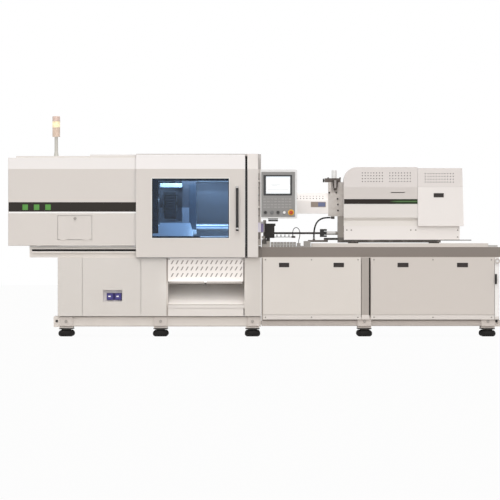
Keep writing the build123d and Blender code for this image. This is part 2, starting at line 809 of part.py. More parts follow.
fixed_x = (fixed_platen_left, fixed_platen_right)
fixed_platen = platen_plate(fixed_x)
fixed_leg_x = (fixed_x[0] + platen_leg_setback, fixed_x[1])
for y in (foot_y, (-foot_y[1], -foot_y[0])):
    fixed_platen += block(fixed_leg_x, y, (bed_top, platen_bottom + 90))
through = (fixed_x[0] - 1, fixed_x[1] + 1)
fixed_platen -= holes_x(through, tie_places, tie_bar_diameter / 2)
fixed_platen -= rod_x((fixed_x[0] - 1, fixed_x[0] + locating_depth), 0, axis_height, locating_bore / 2)
fixed_platen -= rod_x(through, 0, axis_height, nozzle_hole / 2)
recess_depth = 130
recess = Pos(fixed_x[1] - recess_depth / 2, 0, axis_height) * Rot(0, 90, 0) * Cone(
    65, 130, recess_depth)
fixed_platen -= recess
half_bolt = mould_bolt_spacing / 2
bolt_places = [(y * half_bolt, axis_height + z * half_bolt) for y in (-1, 1) for z in (-1, 1)]
fixed_platen -= holes_x((fixed_x[0] - 1, fixed_x[0] + mould_bolt_depth), bolt_places, mould_bolt_hole / 2)
robot_middle = (fixed_x[0] + fixed_x[1]) / 2
for x in (-robot_spacing_x / 2, robot_spacing_x / 2):
    for y in (-robot_spacing_y / 2, robot_spacing_y / 2):
        fixed_platen -= rod_z(robot_middle + x, y, (platen_top - 30, platen_top + 1), 7)
save("fixed_platen", fixed_platen)

front_plate_x = (moving_face - moving_platen_thickness, moving_face)
moving_platen = platen_plate(front_plate_x)
box_half = 190
cavity_half = 125
moving_platen += block((moving_back, front_plate_x[0]), (-box_half, box_half),
                       (axis_height - box_half, axis_height + box_half))
cavity_x = (moving_back + 30, front_plate_x[0] - 40)
moving_platen -= block(cavity_x, (-cavity_half, cavity_half),
                       (axis_height - cavity_half, axis_height + cavity_half))
side_window = block((cavity_x[0] + 10, cavity_x[1] - 10), (-box_half - 1, box_half + 1),
                    (axis_height - 80, axis_height + 80))
moving_platen -= side_window
boss_x = (front_plate_x[0] - 70, front_plate_x[0])
for y, z in tie_places:
    moving_platen += rod_x(boss_x, y, z, 60)
bore_x = (boss_x[0] - 1, moving_face + 1)
moving_platen -= holes_x(bore_x, tie_places, tie_bar_diameter / 2 + tie_bar_clearance)
ejector_rods = [(0, axis_height), (-70, axis_height), (70, axis_height)]
ejector_rod_radius = 12
moving_platen -= holes_x((cavity_x[1] - 1, moving_face + 1), ejector_rods,
                         ejector_rod_radius + nut_clearance)
moving_platen -= holes_x((moving_face - mould_bolt_depth, moving_face + 1), bolt_places,
                         mould_bolt_hole / 2)
tail_hole = rod_x((moving_back - 1, cavity_x[0] + 1), 0, axis_height, thrust_tube_bore / 2)
moving_platen -= tail_hole
shoe_y = (-platen_width / 2 - shoe_width, -platen_width / 2)
shoe_low = slideway_top + seat_gap
shoe_outline = [(moving_back - 70, shoe_low), (moving_face - 35, shoe_low)]
shoe_outline += [(moving_face - 35, shoe_low + 40), (moving_face - 65, shoe_low + 140)]
shoe_outline += [(moving_back + 10, shoe_low + 140), (moving_back - 20, shoe_low + 40)]
shoe_outline += [(moving_back - 70, shoe_low + 40)]
shoe = prism_y(shoe_outline, shoe_y)
save("moving_platen", moving_platen, *both(shoe))

nut_x = (nut_left, nut_left + nut_length)
thrust_tube = tube_x((nut_x[0], moving_back), 0, axis_height, thrust_tube_diameter / 2,
                     thrust_tube_bore / 2)
nut_bore = clamp_screw_diameter / 2 + nut_clearance
nut = tube_x(nut_x, 0, axis_height, thrust_tube_bore / 2, nut_bore)
nut += tube_x((nut_x[0], nut_x[0] + 25), 0, axis_height, 118, thrust_tube_diameter / 2)
save("thrust_tube", thrust_tube + nut)

ejector_x = (cavity_x[1] - ejector_travel - 34, cavity_x[1] - ejector_travel - 4)
half_side = ejector_plate_side / 2
ejector = block(ejector_x, (-half_side, half_side), (axis_height - 45, axis_height + 45))
for y, z in ejector_rods:
    ejector += rod_x((ejector_x[1], moving_face - 9), y, z, ejector_rod_radius)
save("ejector", ejector)

thrust_x = (thrust_platen_left, thrust_platen_right)
thrust_platen = platen_plate(thrust_x)
for y in (foot_y, (-foot_y[1], -foot_y[0])):
    thrust_platen += block(thrust_x, y, (bed_top, platen_bottom + 90))
through = (thrust_x[0] - 1, thrust_x[1] + 1)
thrust_platen -= holes_x(through, tie_places, tie_bar_diameter / 2)
thrust_platen -= rod_x(through, 0, axis_height, clamp_journal_diameter / 2 + running_clearance)
mount_x = (thrust_x[0] - 20, thrust_x[0])
mount_plate = block(mount_x, (150, motor_offset + 100), (axis_height - 100, axis_height + 100))
mount_plate -= rod_x((mount_x[0] - 1, mount_x[1] + 1), motor_offset, axis_height, 40)
save("thrust_platen", thrust_platen, mount_plate)

bar_x = (thrust_x[0] - tie_nut_length - 5, fixed_x[1] + tie_nut_length + 3)
bars = []
for y, z in tie_places:
    bars.append(rod_x(bar_x, y, z, tie_bar_diameter / 2))
    for x in ((thrust_x[0] - tie_nut_length, thrust_x[0]), (fixed_x[1], fixed_x[1] + tie_nut_length)):
        bars.append(tube_x(x, y, z, tie_nut_diameter / 2, tie_bar_diameter / 2))
save("tie_bars", *bars)

# Clamp drive

pulley_x = (thrust_x[0] - 90, thrust_x[0] - 90 + pulley_width)
screw_end = nut_x[1] + closing_travel + 20
clamp_screw = rod_x((thrust_x[1] + 20, screw_end), 0, axis_height, clamp_screw_diameter / 2)
clamp_screw += rod_x((thrust_x[1] + 0.5, thrust_x[1] + 12), 0, axis_height, 45)
clamp_screw += rod_x((pulley_x[0] - 30, thrust_x[1] + 21), 0, axis_height, clamp_journal_diameter / 2)
rim = tube_x(pulley_x, 0, axis_height, driven_pulley_diameter / 2, driven_pulley_diameter / 2 - 16)
web_x = (pulley_x[0] + 20, pulley_x[1] - 20)
web = tube_x(web_x, 0, axis_height, driven_pulley_diameter / 2 - 16, 40)
for i in range(6):
    angle = math.radians(60 * i)
    web -= rod_x((web_x[0] - 1, web_x[1] + 1), 65 * math.cos(angle),
                 axis_height + 65 * math.sin(angle), 17)
hub = tube_x(pulley_x, 0, axis_height, 40, clamp_journal_diameter / 2)
save("clamp_screw", clamp_screw, rim + web + hub)

motor_pulley = rod_x(pulley_x, motor_offset, axis_height, motor_pulley_diameter / 2)
for x in (pulley_x[0] - 3, pulley_x[1]):
    motor_pulley += rod_x((x, x + 3), motor_offset, axis_height, motor_pulley_diameter / 2 + 9)
shaft_x = (pulley_x[1], thrust_x[0] + 14)
motor_pulley += rod_x(shaft_x, motor_offset, axis_height, 19)
save("motor_pulley", motor_pulley)

belt_x = ((pulley_x[0] + pulley_x[1] - belt_width) / 2, (pulley_x[0] + pulley_x[1] + belt_width) / 2)


def belt_loop(gap):
    """The outline round both pulleys at a distance from their rims."""
    driven = Pos(0, axis_height) * Circle(driven_pulley_diameter / 2 + gap)
    driving = Pos(motor_offset, axis_height) * Circle(motor_pulley_diameter / 2 + gap)
    return make_hull((driven + driving).edges())


belt_face = belt_loop(seat_gap + belt_thickness) - belt_loop(seat_gap)
clamp_belt = along_x(belt_face, belt_x)
save("clamp_belt", clamp_belt)

motor_x = (thrust_x[0] + 1, thrust_x[0] + 1 + motor_length)
motor_y = (platen_width / 2 + 6, platen_width / 2 + 6 + motor_side)
motor_z = (axis_height - motor_side / 2, axis_height + motor_side / 2)
motor_body = block((motor_x[0] + 24, motor_x[1]), motor_y, motor_z)
motor_body = fillet(motor_body.edges().filter_by(Axis.X), 20)
motor_flange_y = (platen_width / 2 + 2, platen_width / 2 + 10 + motor_side)
motor_flange = block((thrust_x[0], motor_x[0] + 24), motor_flange_y, motor_z)
clamp_motor = motor_body + motor_flange
clamp_motor -= rod_x((thrust_x[0] - 1, thrust_x[0] + 15), motor_offset, axis_height, 19 + running_clearance)
save("clamp_motor", clamp_motor)

# Panels round the injection base

cabinet_low = injection_beam[1] + 5
cabinet_high = injection_bed_bottom - 5
plinth_top = cabinet_low + 45
cabinet_spans = ((injection_left + 15, injection_middle_post - 58),
                 (injection_middle_post + 42, injection_end - 45))
left_door, right_door = cabinet_spans
grip_spans = ((left_door[0] + 160, left_door[0] + 262), (left_door[1] - 275, left_door[1] - 170),
              (right_door[0] + 265, right_door[0] + 375), (right_door[1] - 375, right_door[1] - 265))
grip_z = (cabinet_high - 97, cabinet_high - 53)
cabinet = []
for x in cabinet_spans:
    door = tray(x, (plinth_top + panel_gap, cabinet_high), panel_face)
    for low, high in grip_spans:
        if x[0] < low < x[1]:
            door -= block((low, high), (-panel_face - 1, -panel_face + 10), grip_z)
    cabinet.append(door)
    cabinet.append(tray(x, (cabinet_low, plinth_top), panel_face))
mullion = (cabinet_spans[0][1] + 6, cabinet_spans[1][0] - 15)
cabinet.append(tray(mullion, (cabinet_low, cabinet_high), panel_face - 2))
end_post = (cabinet_spans[1][1] + 4, injection_end)
eye_x = injection_end - 16
eye_z = cabinet_high - 35
eye_hole = 14
end_tray = tray(end_post, (cabinet_low, cabinet_high), panel_face)
end_tray -= rod_y(eye_x, (-panel_face - 1, -panel_face + sheet + 1), eye_z, eye_hole)
cabinet.append(end_tray)
cabinet.append(far(tray((injection_left + 5, injection_end), (cabinet_low, cabinet_high), panel_face)))
cabinet.append(block((injection_end, injection_end + sheet), end_y, (cabinet_low, cabinet_high)))
grip_lip = 4
for low, high in grip_spans:
    pocket = block((low, high), (-panel_face - 2, -panel_face + 22), grip_z)
    inside = (low + grip_lip, high - grip_lip)
    pocket -= block(inside, (-panel_face - 3, -panel_face + 19), (grip_z[0] + grip_lip, grip_z[1] - grip_lip))
    cabinet.append(pocket)
eye = rod_y(eye_x, (-panel_face - 16, -panel_face), eye_z, 2 * eye_hole)
eye -= rod_y(eye_x, (-panel_face - 17, -panel_face + 1), eye_z, eye_hole)
cabinet.append(eye)
save("cabinet_panels", *cabinet)

switch_x = end_post[0] + 10
switch_z = cabinet_high - 215
switch = rod_y(switch_x, (-panel_face - 26, -panel_face - seat_gap), switch_z, 10)
switch += block((switch_x - 10, switch_x + 10), (-panel_face - 38, -panel_face - 24),
                (switch_z - 50, switch_z + 50))
save("main_switch", switch)

# Carriage drive on the bed

drive_y = -drive_offset
drive_motor_x = (injection_left + 35, injection_left + 140)
drive_low = drive_screw_height - 29
drive_high = drive_screw_height + 96
drive_base_x = (injection_left + 3, injection_left + 85)
drive_base = block(drive_base_x, (drive_y - 45, drive_y + 45), (injection_bed_top, drive_low))
drive_base -= block((injection_left, drive_base_x[0] + 48), (drive_y - 46, drive_y + 46),
                    (injection_bed_top + 30, drive_low - 25))
drive_motor = block((drive_motor_x[0], drive_motor_x[1] - 10), (drive_y - 50, drive_y + 50),
                    (drive_low, drive_high))
drive_motor += block((drive_motor_x[0] + 4, drive_motor_x[1]), (drive_y - 50, drive_y + 50),
                     (drive_high - 25, drive_high))
drive_motor += block((injection_left + 5, drive_motor_x[0]), (drive_y - 35, drive_y + 35),
                     (drive_low + 40, drive_high - 5))
screw_radius = drive_screw_diameter / 2
socket_hole = (drive_motor_x[1] - 40, drive_motor_x[1] + 1)
drive_motor -= rod_x(socket_hole, drive_y, drive_screw_height, screw_radius + running_clearance)
strip_x = (drive_motor_x[1] - 10, injection_left + 339)
strip_z = (drive_low - 13, drive_low - 7)
strip = block(strip_x, (drive_y - 4, drive_y + 4), strip_z)
for i in range(5):
    tick_x = drive_motor_x[1] + 11 + 40 * i
    strip += block((tick_x, tick_x + 8), (drive_y - 4, drive_y + 4), (strip_z[1], strip_z[1] + 22))
switch_x_low = strip_x[1] - 38
switch_top = drive_low + 1
strip += block((switch_x_low, strip_x[1]), (drive_y - 30, drive_y + 4), (switch_top - 20, switch_top))
strip += block((drive_base_x[1], strip_x[0]), (drive_y - 8, drive_y + 8), (drive_low - 20, drive_low))
save("carriage_motor", drive_base, drive_motor, strip)

nut_yoke_x = (carriage_front - 180, carriage_front - 110)
screw_far = nut_yoke_x[1] + carriage_travel + 20
carriage_screw = rod_x((drive_motor_x[1] - 39, screw_far), drive_y, drive_screw_height, screw_radius)
save("carriage_screw", carriage_screw)

chain_y = (drive_y - 130, drive_y - 60)
chain_top = injection_bed_top + 50
chain_wall = 7
chain_left = injection_left + 91
chain = []
link_pitch = 32
for i in range(8):
    low = chain_left + i * link_pitch
    link = block((low, low + link_pitch - 3), chain_y, (injection_bed_top, chain_top))
    link -= block((low - 1, low + link_pitch), (chain_y[0] + chain_wall - 1, chain_y[1] - chain_wall + 1),
                  (injection_bed_top + chain_wall, chain_top - chain_wall))
    chain.append(link)
chain_end_y = (chain_y[0] + 5, chain_y[1] - 5)
chain_end_x = chain_left + 8 * link_pitch
chain_end = block((chain_end_x, chain_end_x + 146), chain_end_y, (injection_bed_top, injection_bed_top + 12))
chain_post_top = injection_bed_top + 40
chain_end += block((chain_end_x + 6, chain_end_x + 44), chain_end_y, (injection_bed_top, chain_post_top))
chain_end += block((chain_end_x + 74, chain_end_x + 144), chain_end_y,
                   (injection_bed_top, injection_bed_top + 60))
save("cable_chain", *chain, chain_end)

# Injection carriage

base_bottom = carriage_top - carriage_plate_thickness
base_y = (-unit_face + 34, unit_face - 34)
tail_x = carriage_rear - 190
main_base_x = (carriage_front, tail_x)
base_plate = block(main_base_x, base_y, (base_bottom, carriage_top))
base_plate += block((tail_x, carriage_rear), base_y, (carriage_top - 8, carriage_top))
base_plate += block((carriage_rear - 10, carriage_rear + 120), (-200, 200), (carriage_top - 8, carriage_top))
rail_top = injection_bed_top + rail_height
for x in ((carriage_front + 106, carriage_front + 206), (carriage_rear - 304, carriage_rear - 204)):
    runner = block(x, (-rail_offset - 35, -rail_offset + 35), (injection_bed_top + 8, base_bottom))
    runner -= block((x[0] - 1, x[1] + 1),
                    (-rail_offset - rail_width / 2 - seat_gap, -rail_offset + rail_width / 2 + seat_gap),
                    (injection_bed_top, rail_top + seat_gap))
    base_plate += runner + far(runner)
column_cut = (carriage_front - 1, unit_left + 1)
column = block((carriage_front, unit_left), (base_y[0] + 6, base_y[1] - 6), (carriage_top, feed_block_bottom))
column -= block(column_cut, (-230, 230), (carriage_top + 60, feed_block_bottom - 55))
column -= rod_x(column_cut, drive_y, drive_screw_height, screw_radius + 1)
base_plate += column
tongue_y = (-310, -180)
tongue_top = carriage_top - 3
tongue = block((carriage_front - 300, carriage_front - 100), tongue_y, (tongue_top - 20, tongue_top))
tongue += block((carriage_front - 140, carriage_front), tongue_y, (tongue_top, tongue_top + 22))
hose_radius = 8
hose_x = carriage_front - 240
hose_y = -245
hose_low = tongue_top + 9
base_plate += tongue
rod_bore = screw_radius + nut_clearance
drive_nut = tube_x((nut_yoke_x[0] + 10, carriage_front), drive_y, drive_screw_height, 17.5, screw_radius + 1)
yoke = block(nut_yoke_x, (drive_y - 25, drive_y + 25),
             (drive_screw_height - 39, drive_screw_height + 41))
yoke -= block((nut_yoke_x[0] + 40, nut_yoke_x[1] + 1), (drive_y - 26, drive_y + 26),
              (drive_screw_height - 22, drive_screw_height + 22))
yoke -= rod_x((nut_yoke_x[0] - 1, nut_yoke_x[1] + 1), drive_y, drive_screw_height, rod_bore)
drive_nut -= block((nut_yoke_x[0], nut_yoke_x[0] + 40.0), (drive_y - 30, drive_y + 30),
                   (drive_screw_height - 44, drive_screw_height + 46))
base_plate += drive_nut + yoke
mount_wall_x = (feed_block_right, feed_block_right + 50)
rear_wall_x = (carriage_rear - 304, carriage_rear - 244)
for x in (mount_wall_x, rear_wall_x):
    wall = block(x, (-300, 300), (carriage_top, unit_shoulder))
    wall -= block((x[0] - 1, x[1] + 1), (-170, 170), (carriage_top + 40, axis_height - 175))
    base_plate += wall
base_plate -= rod_x((carriage_front, screw_far + carriage_travel), drive_y, drive_screw_height,
                    screw_radius + 1)
spindle_y = 200
spindle_radius = 22
for y in (-spindle_y, spindle_y):
    base_plate += rod_x((mount_wall_x[1], rear_wall_x[0]), y, axis_height, spindle_radius)
barrel_seat = rod_x((mount_wall_x[0] - 1, mount_wall_x[1] + 1), 0, axis_height, 60)
base_plate -= barrel_seat
base_plate += rod_z(hose_x, hose_y, (tongue_top, hose_low), hose_radius + 5)
save("carriage_base", base_plate)

barrel_radius = barrel_diameter / 2
screw_bore = screw_diameter / 2
barrel_left = injection_left + 1
barrel = rod_x((barrel_left, mount_wall_x[1]), 0, axis_height, barrel_radius)
barrel += rod_x((nozzle_tip + 30, barrel_left), 0, axis_height, 25)
barrel += rod_x((barrel_left - 50, barrel_left), 0, axis_height, 42)
tip = Pos(nozzle_tip + 15, 0, axis_height) * Rot(0, 90, 0) * Cone(8, 25, 30)
barrel += tip
bore_end = nozzle_tip + 140
barrel -= rod_x((bore_end, mount_wall_x[1] + 1), 0, axis_height, screw_bore)
barrel -= rod_x((nozzle_tip - 1, bore_end), 0, axis_height, 3)
barrel -= rod_z(throat_x, 0, (axis_height, axis_height + barrel_radius + 1), throat_bore / 2)
save("barrel", barrel)

band_count = 6
band_pitch = (barrel_reach - 40) / band_count
bands = []
for i in range(band_count):
    low = injection_left + 19 + i * band_pitch
    bands.append(tube_x((low, low + band_pitch - 9), 0, axis_height, barrel_radius + 8, barrel_radius))
save("heater_bands", *bands)

# Barrel cover: a folded hood, open below, with two rows of vents
hood_sheet = 2
hood_half = feed_block_width / 2
hood_left = injection_left + 71


def hood_outline(inset):
    """The hood's (Y, Z) line, drawn in by an amount, from its front edge over the top to the back."""
    half, top_half = hood_half - inset, 85 - inset / 2
    low, knee, top = axis_height - 105 + inset, axis_height + 27 - inset, axis_height + 100 - inset
    return [(half, low), (half, knee), (top_half, top), (-top_half, top), (-half, knee), (-half, low)]


barrel_cover = bent_sheet_x(hood_outline(0), (hood_left, feed_block_left), hood_sheet)
end_wall = prism_x(hood_outline(1), (hood_left, hood_left + hood_sheet))
end_wall -= rod_x((hood_left - 1, hood_left + hood_sheet + 1), 0, axis_height, barrel_radius + 12)
barrel_cover += end_wall
hood_vents = []
for i in range(9):
    for z in (axis_height + 47, axis_height + 70):
        hole = Pos(hood_left + 289 + 32 * i, 20 - hood_half, z) * Rot(90, 0, 0) * extrude(
            RegularPolygon(5, 6), 60, both=True)
        hood_vents.append(hole)
barrel_cover -= hood_vents
rating_plate = block((feed_block_left - 175, feed_block_left - 25), (-hood_half - 1.5, -hood_half),
                     (axis_height - 40, axis_height + 13))
save("barrel_cover", barrel_cover, rating_plate)

# Feed block with its hopper plate and front drain funnel
feed_half = feed_block_width / 2
feed_block = block((feed_block_left, feed_block_right), (-feed_half, feed_half),
                   (feed_block_bottom, feed_block_top))
feed_block -= rod_x((feed_block_left - 1, feed_block_right + 1), 0, axis_height, barrel_radius)
pocket_back = -feed_half + 25
feed_block -= block((feed_block_left + 30, feed_block_right - 20), (-feed_half - 1, pocket_back),
                    (feed_block_top - 105, feed_block_top + 1))
plate_z = (feed_block_top, feed_block_top + hopper_plate_thickness)
hopper_plate = block((feed_block_left - 35, feed_block_right - 32), (-90, 90), plate_z)
feed_block += hopper_plate
shutter_z = (plate_z[0] + 12, plate_z[0] + 24)
shutter_x = (feed_block_left - 20, throat_x - throat_bore / 2 - 11 + shutter_travel)
shutter_half = 30
feed_block -= block((feed_block_left - 36, shutter_x[1] + 1), (-shutter_half - 0.5, shutter_half + 0.5),
                    (shutter_z[0] - 0.5, shutter_z[1] + 0.5))
feed_block -= rod_z(throat_x, 0, (axis_height + 20, plate_z[1] + 1), throat_bore / 2)
hopper_bolt = 60
for x in (-hopper_bolt, hopper_bolt):
    for y in (-hopper_bolt, hopper_bolt):
        feed_block -= rod_z(throat_x + x, y, (plate_z[1] - 25, plate_z[1] + 1), 5.5)
funnel_x = throat_x + 10
funnel_depth = 36
funnel_y = pocket_back - funnel_depth / 2
funnel_low = feed_block_top - 80
funnel = loft([Plane.XY.offset(z) * Pos(funnel_x, funnel_y) * Rectangle(width, funnel_depth)
               for width, z in ((32, funnel_low), (64, feed_block_top + 20))])
funnel -= loft([Plane.XY.offset(z) * Pos(funnel_x, funnel_y) * Rectangle(width, funnel_depth - 6)
                for width, z in ((24, funnel_low + 5), (58, feed_block_top + 21))])
elbow_x = (feed_block_left + 29, feed_block_left + 63)
elbow_y = 20 - feed_half
elbow_z = feed_block_bottom - 15
feed_block += block(elbow_x, (elbow_y - 14, elbow_y + 14), (elbow_z - 14, feed_block_bottom))
throat = rod_z(throat_x, 0, (plate_z[1], plate_z[1] + throat_tube_height), throat_tube_diameter / 2)
throat -= rod_z(throat_x, 0, (plate_z[1] - 1, plate_z[1] + throat_tube_height + 1), throat_bore / 2)
save("feed_block", feed_block, funnel, throat)

shutter = block(shutter_x, (-shutter_half, shutter_half), shutter_z)
knob_x = (feed_block_left - 38 - 16, feed_block_left - 38)
shutter += block((knob_x[1], shutter_x[0]), (-8, 8), (shutter_z[0] + 2, shutter_z[1] - 2))
shutter += rod_x(knob_x, 0, (shutter_z[0] + shutter_z[1]) / 2, 19)
save("hopper_shutter", shutter)

# Coolant hose from the carriage's front tongue up to the feed block

hose_start = (hose_x, hose_y, hose_low)
hose_end = (elbow_x[0], elbow_y, elbow_z)
hose_points = [hose_start, (584, -245, 1022), (589, -233, 1074), (602, -214, 1122), (628, -189, 1160),
               (666, -160, 1182), (711, -130, 1190), hose_end]


def cord_path(points):
    """Straight runs joined by arcs as large as their two runs allow."""
    ways = directions(points)
    runs = [(Vector(*b) - Vector(*a)).length for a, b in zip(points, points[1:])]
    radii = []
    for i, (before, after) in enumerate(zip(ways, ways[1:])):
        turn = math.radians(before.get_angle(after))
        radii.append(0.45 * min(runs[i], runs[i + 1]) / math.tan(turn / 2))
    return FilletPolyline(*points, radius=radii), radii


def cord_tube(points, radius):
    """A round tube along a cord's route."""
    path, radii = cord_path(points)
    tube = sweep(Plane(origin=path @ 0, z_dir=path % 0) * Circle(radius), path)
    ratio = tube.volume / (math.pi * radius ** 2 * path.length)
    print("cord length", round(path.length, 1), "volume ratio", round(ratio, 4),
          "radii", [round(r) for r in radii])
    return tube


save("coolant_hose", cord_tube(hose_points, hose_radius))

# Sensor cable, looping from the limit switch down to the cable chain's end
cable_radius = 3.5
cable_start = (switch_x_low + 12, drive_y - 24, switch_top)
cable_points = [cable_start, (372, -364, 1034), (374, -369, 1062), (388, -375, 1086), (412, -382, 1092),
                (433, -390, 1076), (443, -400, 1048), (444, -409, 1018), (439, -416, 990),
                (431, -420, 962), (431, -420, chain_post_top)]
save("sensor_cable", cord_tube(cable_points, cable_radius))

# Covers of the injection unit

def unit_outline(inset, top, bottom, folded):
    """The (Y, Z) outline of the covers, drawn in by a wall, with or without the fold above the skirt."""
    side = [(unit_face, unit_bottom)]
    if folded:
        fold_top = unit_bottom + unit_fold_height + unit_fold_rise
        side = [(unit_face - unit_fold_depth, unit_bottom)]
        side += [(unit_face - unit_fold_depth, unit_bottom + unit_fold_height), (unit_face, fold_top)]
    side += [(unit_face, unit_shoulder), (unit_face - unit_band_lean, top)]
    line = side + [(-y, z) for y, z in reversed(side)]
    line = left_line(line, inset)
    if bottom < unit_bottom:
        line = [(line[0][0], bottom)] + line + [(line[-1][0], bottom)]
    return line


def nose_outline(x, top, radius):
    """The (X, Z) outline with its upper front corner rounded."""
    edges = [Polyline((x[1], unit_bottom - 50), (x[0], unit_bottom - 50), (x[0], top - radius))]
    edges.append(JernArc((x[0], top - radius), (0, 1), radius, -90))
    edges.append(Polyline((x[0] + radius, top), (x[1], top), (x[1], unit_bottom - 50)))
    return make_face(edges)


def vent_field(xs, zs, y, radius=5.5):
    """Small punched holes in the leaning band on the operator's side."""
    hole = Rot(90, 0, 0) * extrude(RegularPolygon(radius, 6), 60, both=True)
    return [Pos(x, y, z) * hole for x in xs for z in zs]


wall = 3
front_x = (unit_left, unit_split - 1)
outer = prism_x(unit_outline(0, unit_top, unit_bottom, True), front_x)
nose_depth = (-unit_face - 20, unit_face + 20)
nose = along_y(nose_outline(front_x, unit_top, unit_nose_radius), nose_depth)
outer &= nose
inside_x = (front_x[0] + wall, front_x[1] + 5)
inner = prism_x(unit_outline(wall, unit_top, unit_bottom - 10, True), inside_x)
inner_nose = along_y(nose_outline(inside_x, unit_top - wall, unit_nose_radius - wall), nose_depth)
inner &= inner_nose
unit_cover_front = outer - inner
unit_cover_front -= block((front_x[0] - 1, front_x[0] + 10), (-feed_half - 15, feed_half + 15),
                          (unit_bottom - 1, feed_block_top + 15))
vent_y = 30 - unit_face
vent_rows = [unit_shoulder + lift for lift in (51, 80, 109, 137)]
vents = vent_field([unit_left + 187 + 28.6 * i for i in range(8)], vent_rows, vent_y)
vents += vent_field([unit_left + 462 + 29.3 * i for i in range(8)], vent_rows, vent_y)
unit_cover_front -= vents
cover_slot = block((unit_left + 472, unit_left + 612), (-unit_face - 1, -unit_face + 5),
                   (unit_shoulder - 64, unit_shoulder - 56))
unit_cover_front -= cover_slot
save("unit_cover_front", unit_cover_front)

rear_top = unit_top - 10
rear_x = (unit_split + 1, unit_right + 15)
rear_side = [(rear_x[0], unit_bottom - 50), (rear_x[0], rear_top), (unit_right, rear_top),
             (unit_right + 15, unit_bottom), (unit_right + 15, unit_bottom - 50)]
outer = prism_x(unit_outline(0, rear_top, unit_bottom, False), rear_x) & prism_y(rear_side, nose_depth)
inner_side = [(rear_x[0] - 5, unit_bottom + wall), (rear_x[0] - 5, rear_top - wall)]
inner_side += [(unit_right - wall, rear_top - wall), (unit_right + 15 - wall, unit_bottom + wall)]
inner = prism_x(unit_outline(wall, rear_top, unit_bottom - 10, False), (rear_x[0] - 5, rear_x[1]))
inner &= prism_y(inner_side, nose_depth)
unit_cover_rear = outer - inner
mouth_x = (rear_x[0] - 1, unit_right - unit_flange)
mouth_y = (-unit_face + unit_flange, unit_face - unit_flange)
unit_cover_rear -= block(mouth_x, mouth_y, (unit_bottom - 1, unit_bottom + wall + 1))
rear_vent_rows = [unit_shoulder + lift for lift in (45, 73, 102, 130)]
unit_cover_rear -= vent_field([unit_split + 76 + 28 * i for i in range(11)], rear_vent_rows, vent_y)
cover_grip_x = (unit_split + 160, unit_split + 261)
cover_grip_z = (unit_shoulder - 108, unit_shoulder - 66)
grip_hole = block(cover_grip_x, (-unit_face - 1, -unit_face + 5), cover_grip_z)
unit_cover_rear -= grip_hole
grip_cup = block(cover_grip_x, (-unit_face - 2, -unit_face + 20), cover_grip_z)
grip_cup -= block((cover_grip_x[0] + 4, cover_grip_x[1] - 4), (-unit_face - 3, -unit_face + 17),
                  (cover_grip_z[0] + 4, cover_grip_z[1] - 4))
save("unit_cover_rear", unit_cover_rear, grip_cup)

skirt_face = unit_face - 35
skirt_x = (carriage_front + 60, carriage_rear)
skirt = block(skirt_x, (-skirt_face, skirt_face), (carriage_top, unit_bottom))
skirt -= block((skirt_x[0] - 1, skirt_x[1] - sheet), (-skirt_face + sheet, skirt_face - sheet),
               (carriage_top - 1, unit_bottom + 1))
skirt += block((skirt_x[0] + 200, skirt_x[1] - 200), (-skirt_face, -skirt_face + 12),
               (unit_bottom - 3, unit_bottom))
save("unit_skirt", skirt)

# Injection drive: the plate that pushes the screw, with its three motors

drive_x = (rear_wall_x[0] - screw_travel - 330, rear_wall_x[0] - screw_travel - 250)
drive_plate = block(drive_x, (-280, 280), (axis_height - 215, axis_height + 225))
motor_span = (drive_x[1], drive_x[1] + 170)
for y in (-spindle_y, spindle_y):
    drive_plate += rod_x(motor_span, y, axis_height, 70)
    drive_plate -= rod_x((drive_x[0] - 1, motor_span[1] + 1), y, axis_height, spindle_radius + nut_clearance)
drive_plate += rod_x((drive_x[1], drive_x[1] + 220), 0, axis_height, 105)
shaft_radius = screw_diameter / 2 - screw_clearance
drive_plate -= rod_x((drive_x[0] - 1, drive_x[1] + 150), 0, axis_height, shaft_radius + running_clearance)
save("injection_drive", drive_plate)

screw_tip = bore_end + 25
injection_screw = rod_x((screw_tip + 20, drive_x[1] + 148), 0, axis_height, shaft_radius)
injection_screw += Pos(screw_tip + 10, 0, axis_height) * Rot(0, 90, 0) * Cone(4, shaft_radius, 20)
save("injection_screw", injection_screw)

# Operator panel on its vertical pivot

case_x = (panel_left, panel_right)
case_z = (panel_bottom, panel_top)
case_y = (-panel_front, -panel_front + panel_depth)
case = block(case_x, case_y, case_z)
case = fillet(case.edges().filter_by(Axis.Y), 12)
case = chamfer(case.faces().sort_by(Axis.Y)[0].edges(), 3)
face_plate = block((panel_left + 8, panel_right - 20), (-panel_front - 3, -panel_front),
                   (panel_bottom + 15, panel_top - 25))
case += face_plate
button_xs = {"left_button": panel_left + 48, "selector_knob": panel_left + 113,
             "start_button": panel_left + 175, "stop_button": panel_left + 238}
estop_x = panel_left + 305
hole_depth = 12
for x in list(button_xs.values()) + [estop_x]:
    radius = button_radius if x != estop_x else 9
    case -= rod_y(x, (-panel_front - 4, -panel_front + hole_depth), button_height, radius + seat_gap)
collar = rod_y(estop_x, (-panel_front - 5, -panel_front - 3), button_height, 30)
collar -= rod_y(estop_x, (-panel_front - 6, -panel_front - 2), button_height, 9 + seat_gap)
case += collar
knuckle_z = (pin_z[0] + 2, pin_z[1] - 2)
sleeve = rod_z(pivot_x, -pivot_y, knuckle_z, pivot_radius - 2)
sleeve += block((pivot_x, pivot_x + 60), (-panel_front + panel_depth, -pivot_y), knuckle_z)
sleeve -= rod_z(pivot_x, -pivot_y, (knuckle_z[0] - 1, knuckle_z[1] + 1), 6 + running_clearance)
case += sleeve
gland = block((panel_left + 75, panel_left + 175), (-panel_front + 15, -panel_front + 45),
              (panel_bottom - 10, panel_bottom))
case += gland
save("hmi_case", case)
screen = block((panel_left + 30, panel_right - 50), (-panel_front - 6, -panel_front - 3),
               (panel_top - 260, panel_top - 55))
save("hmi_screen", screen)

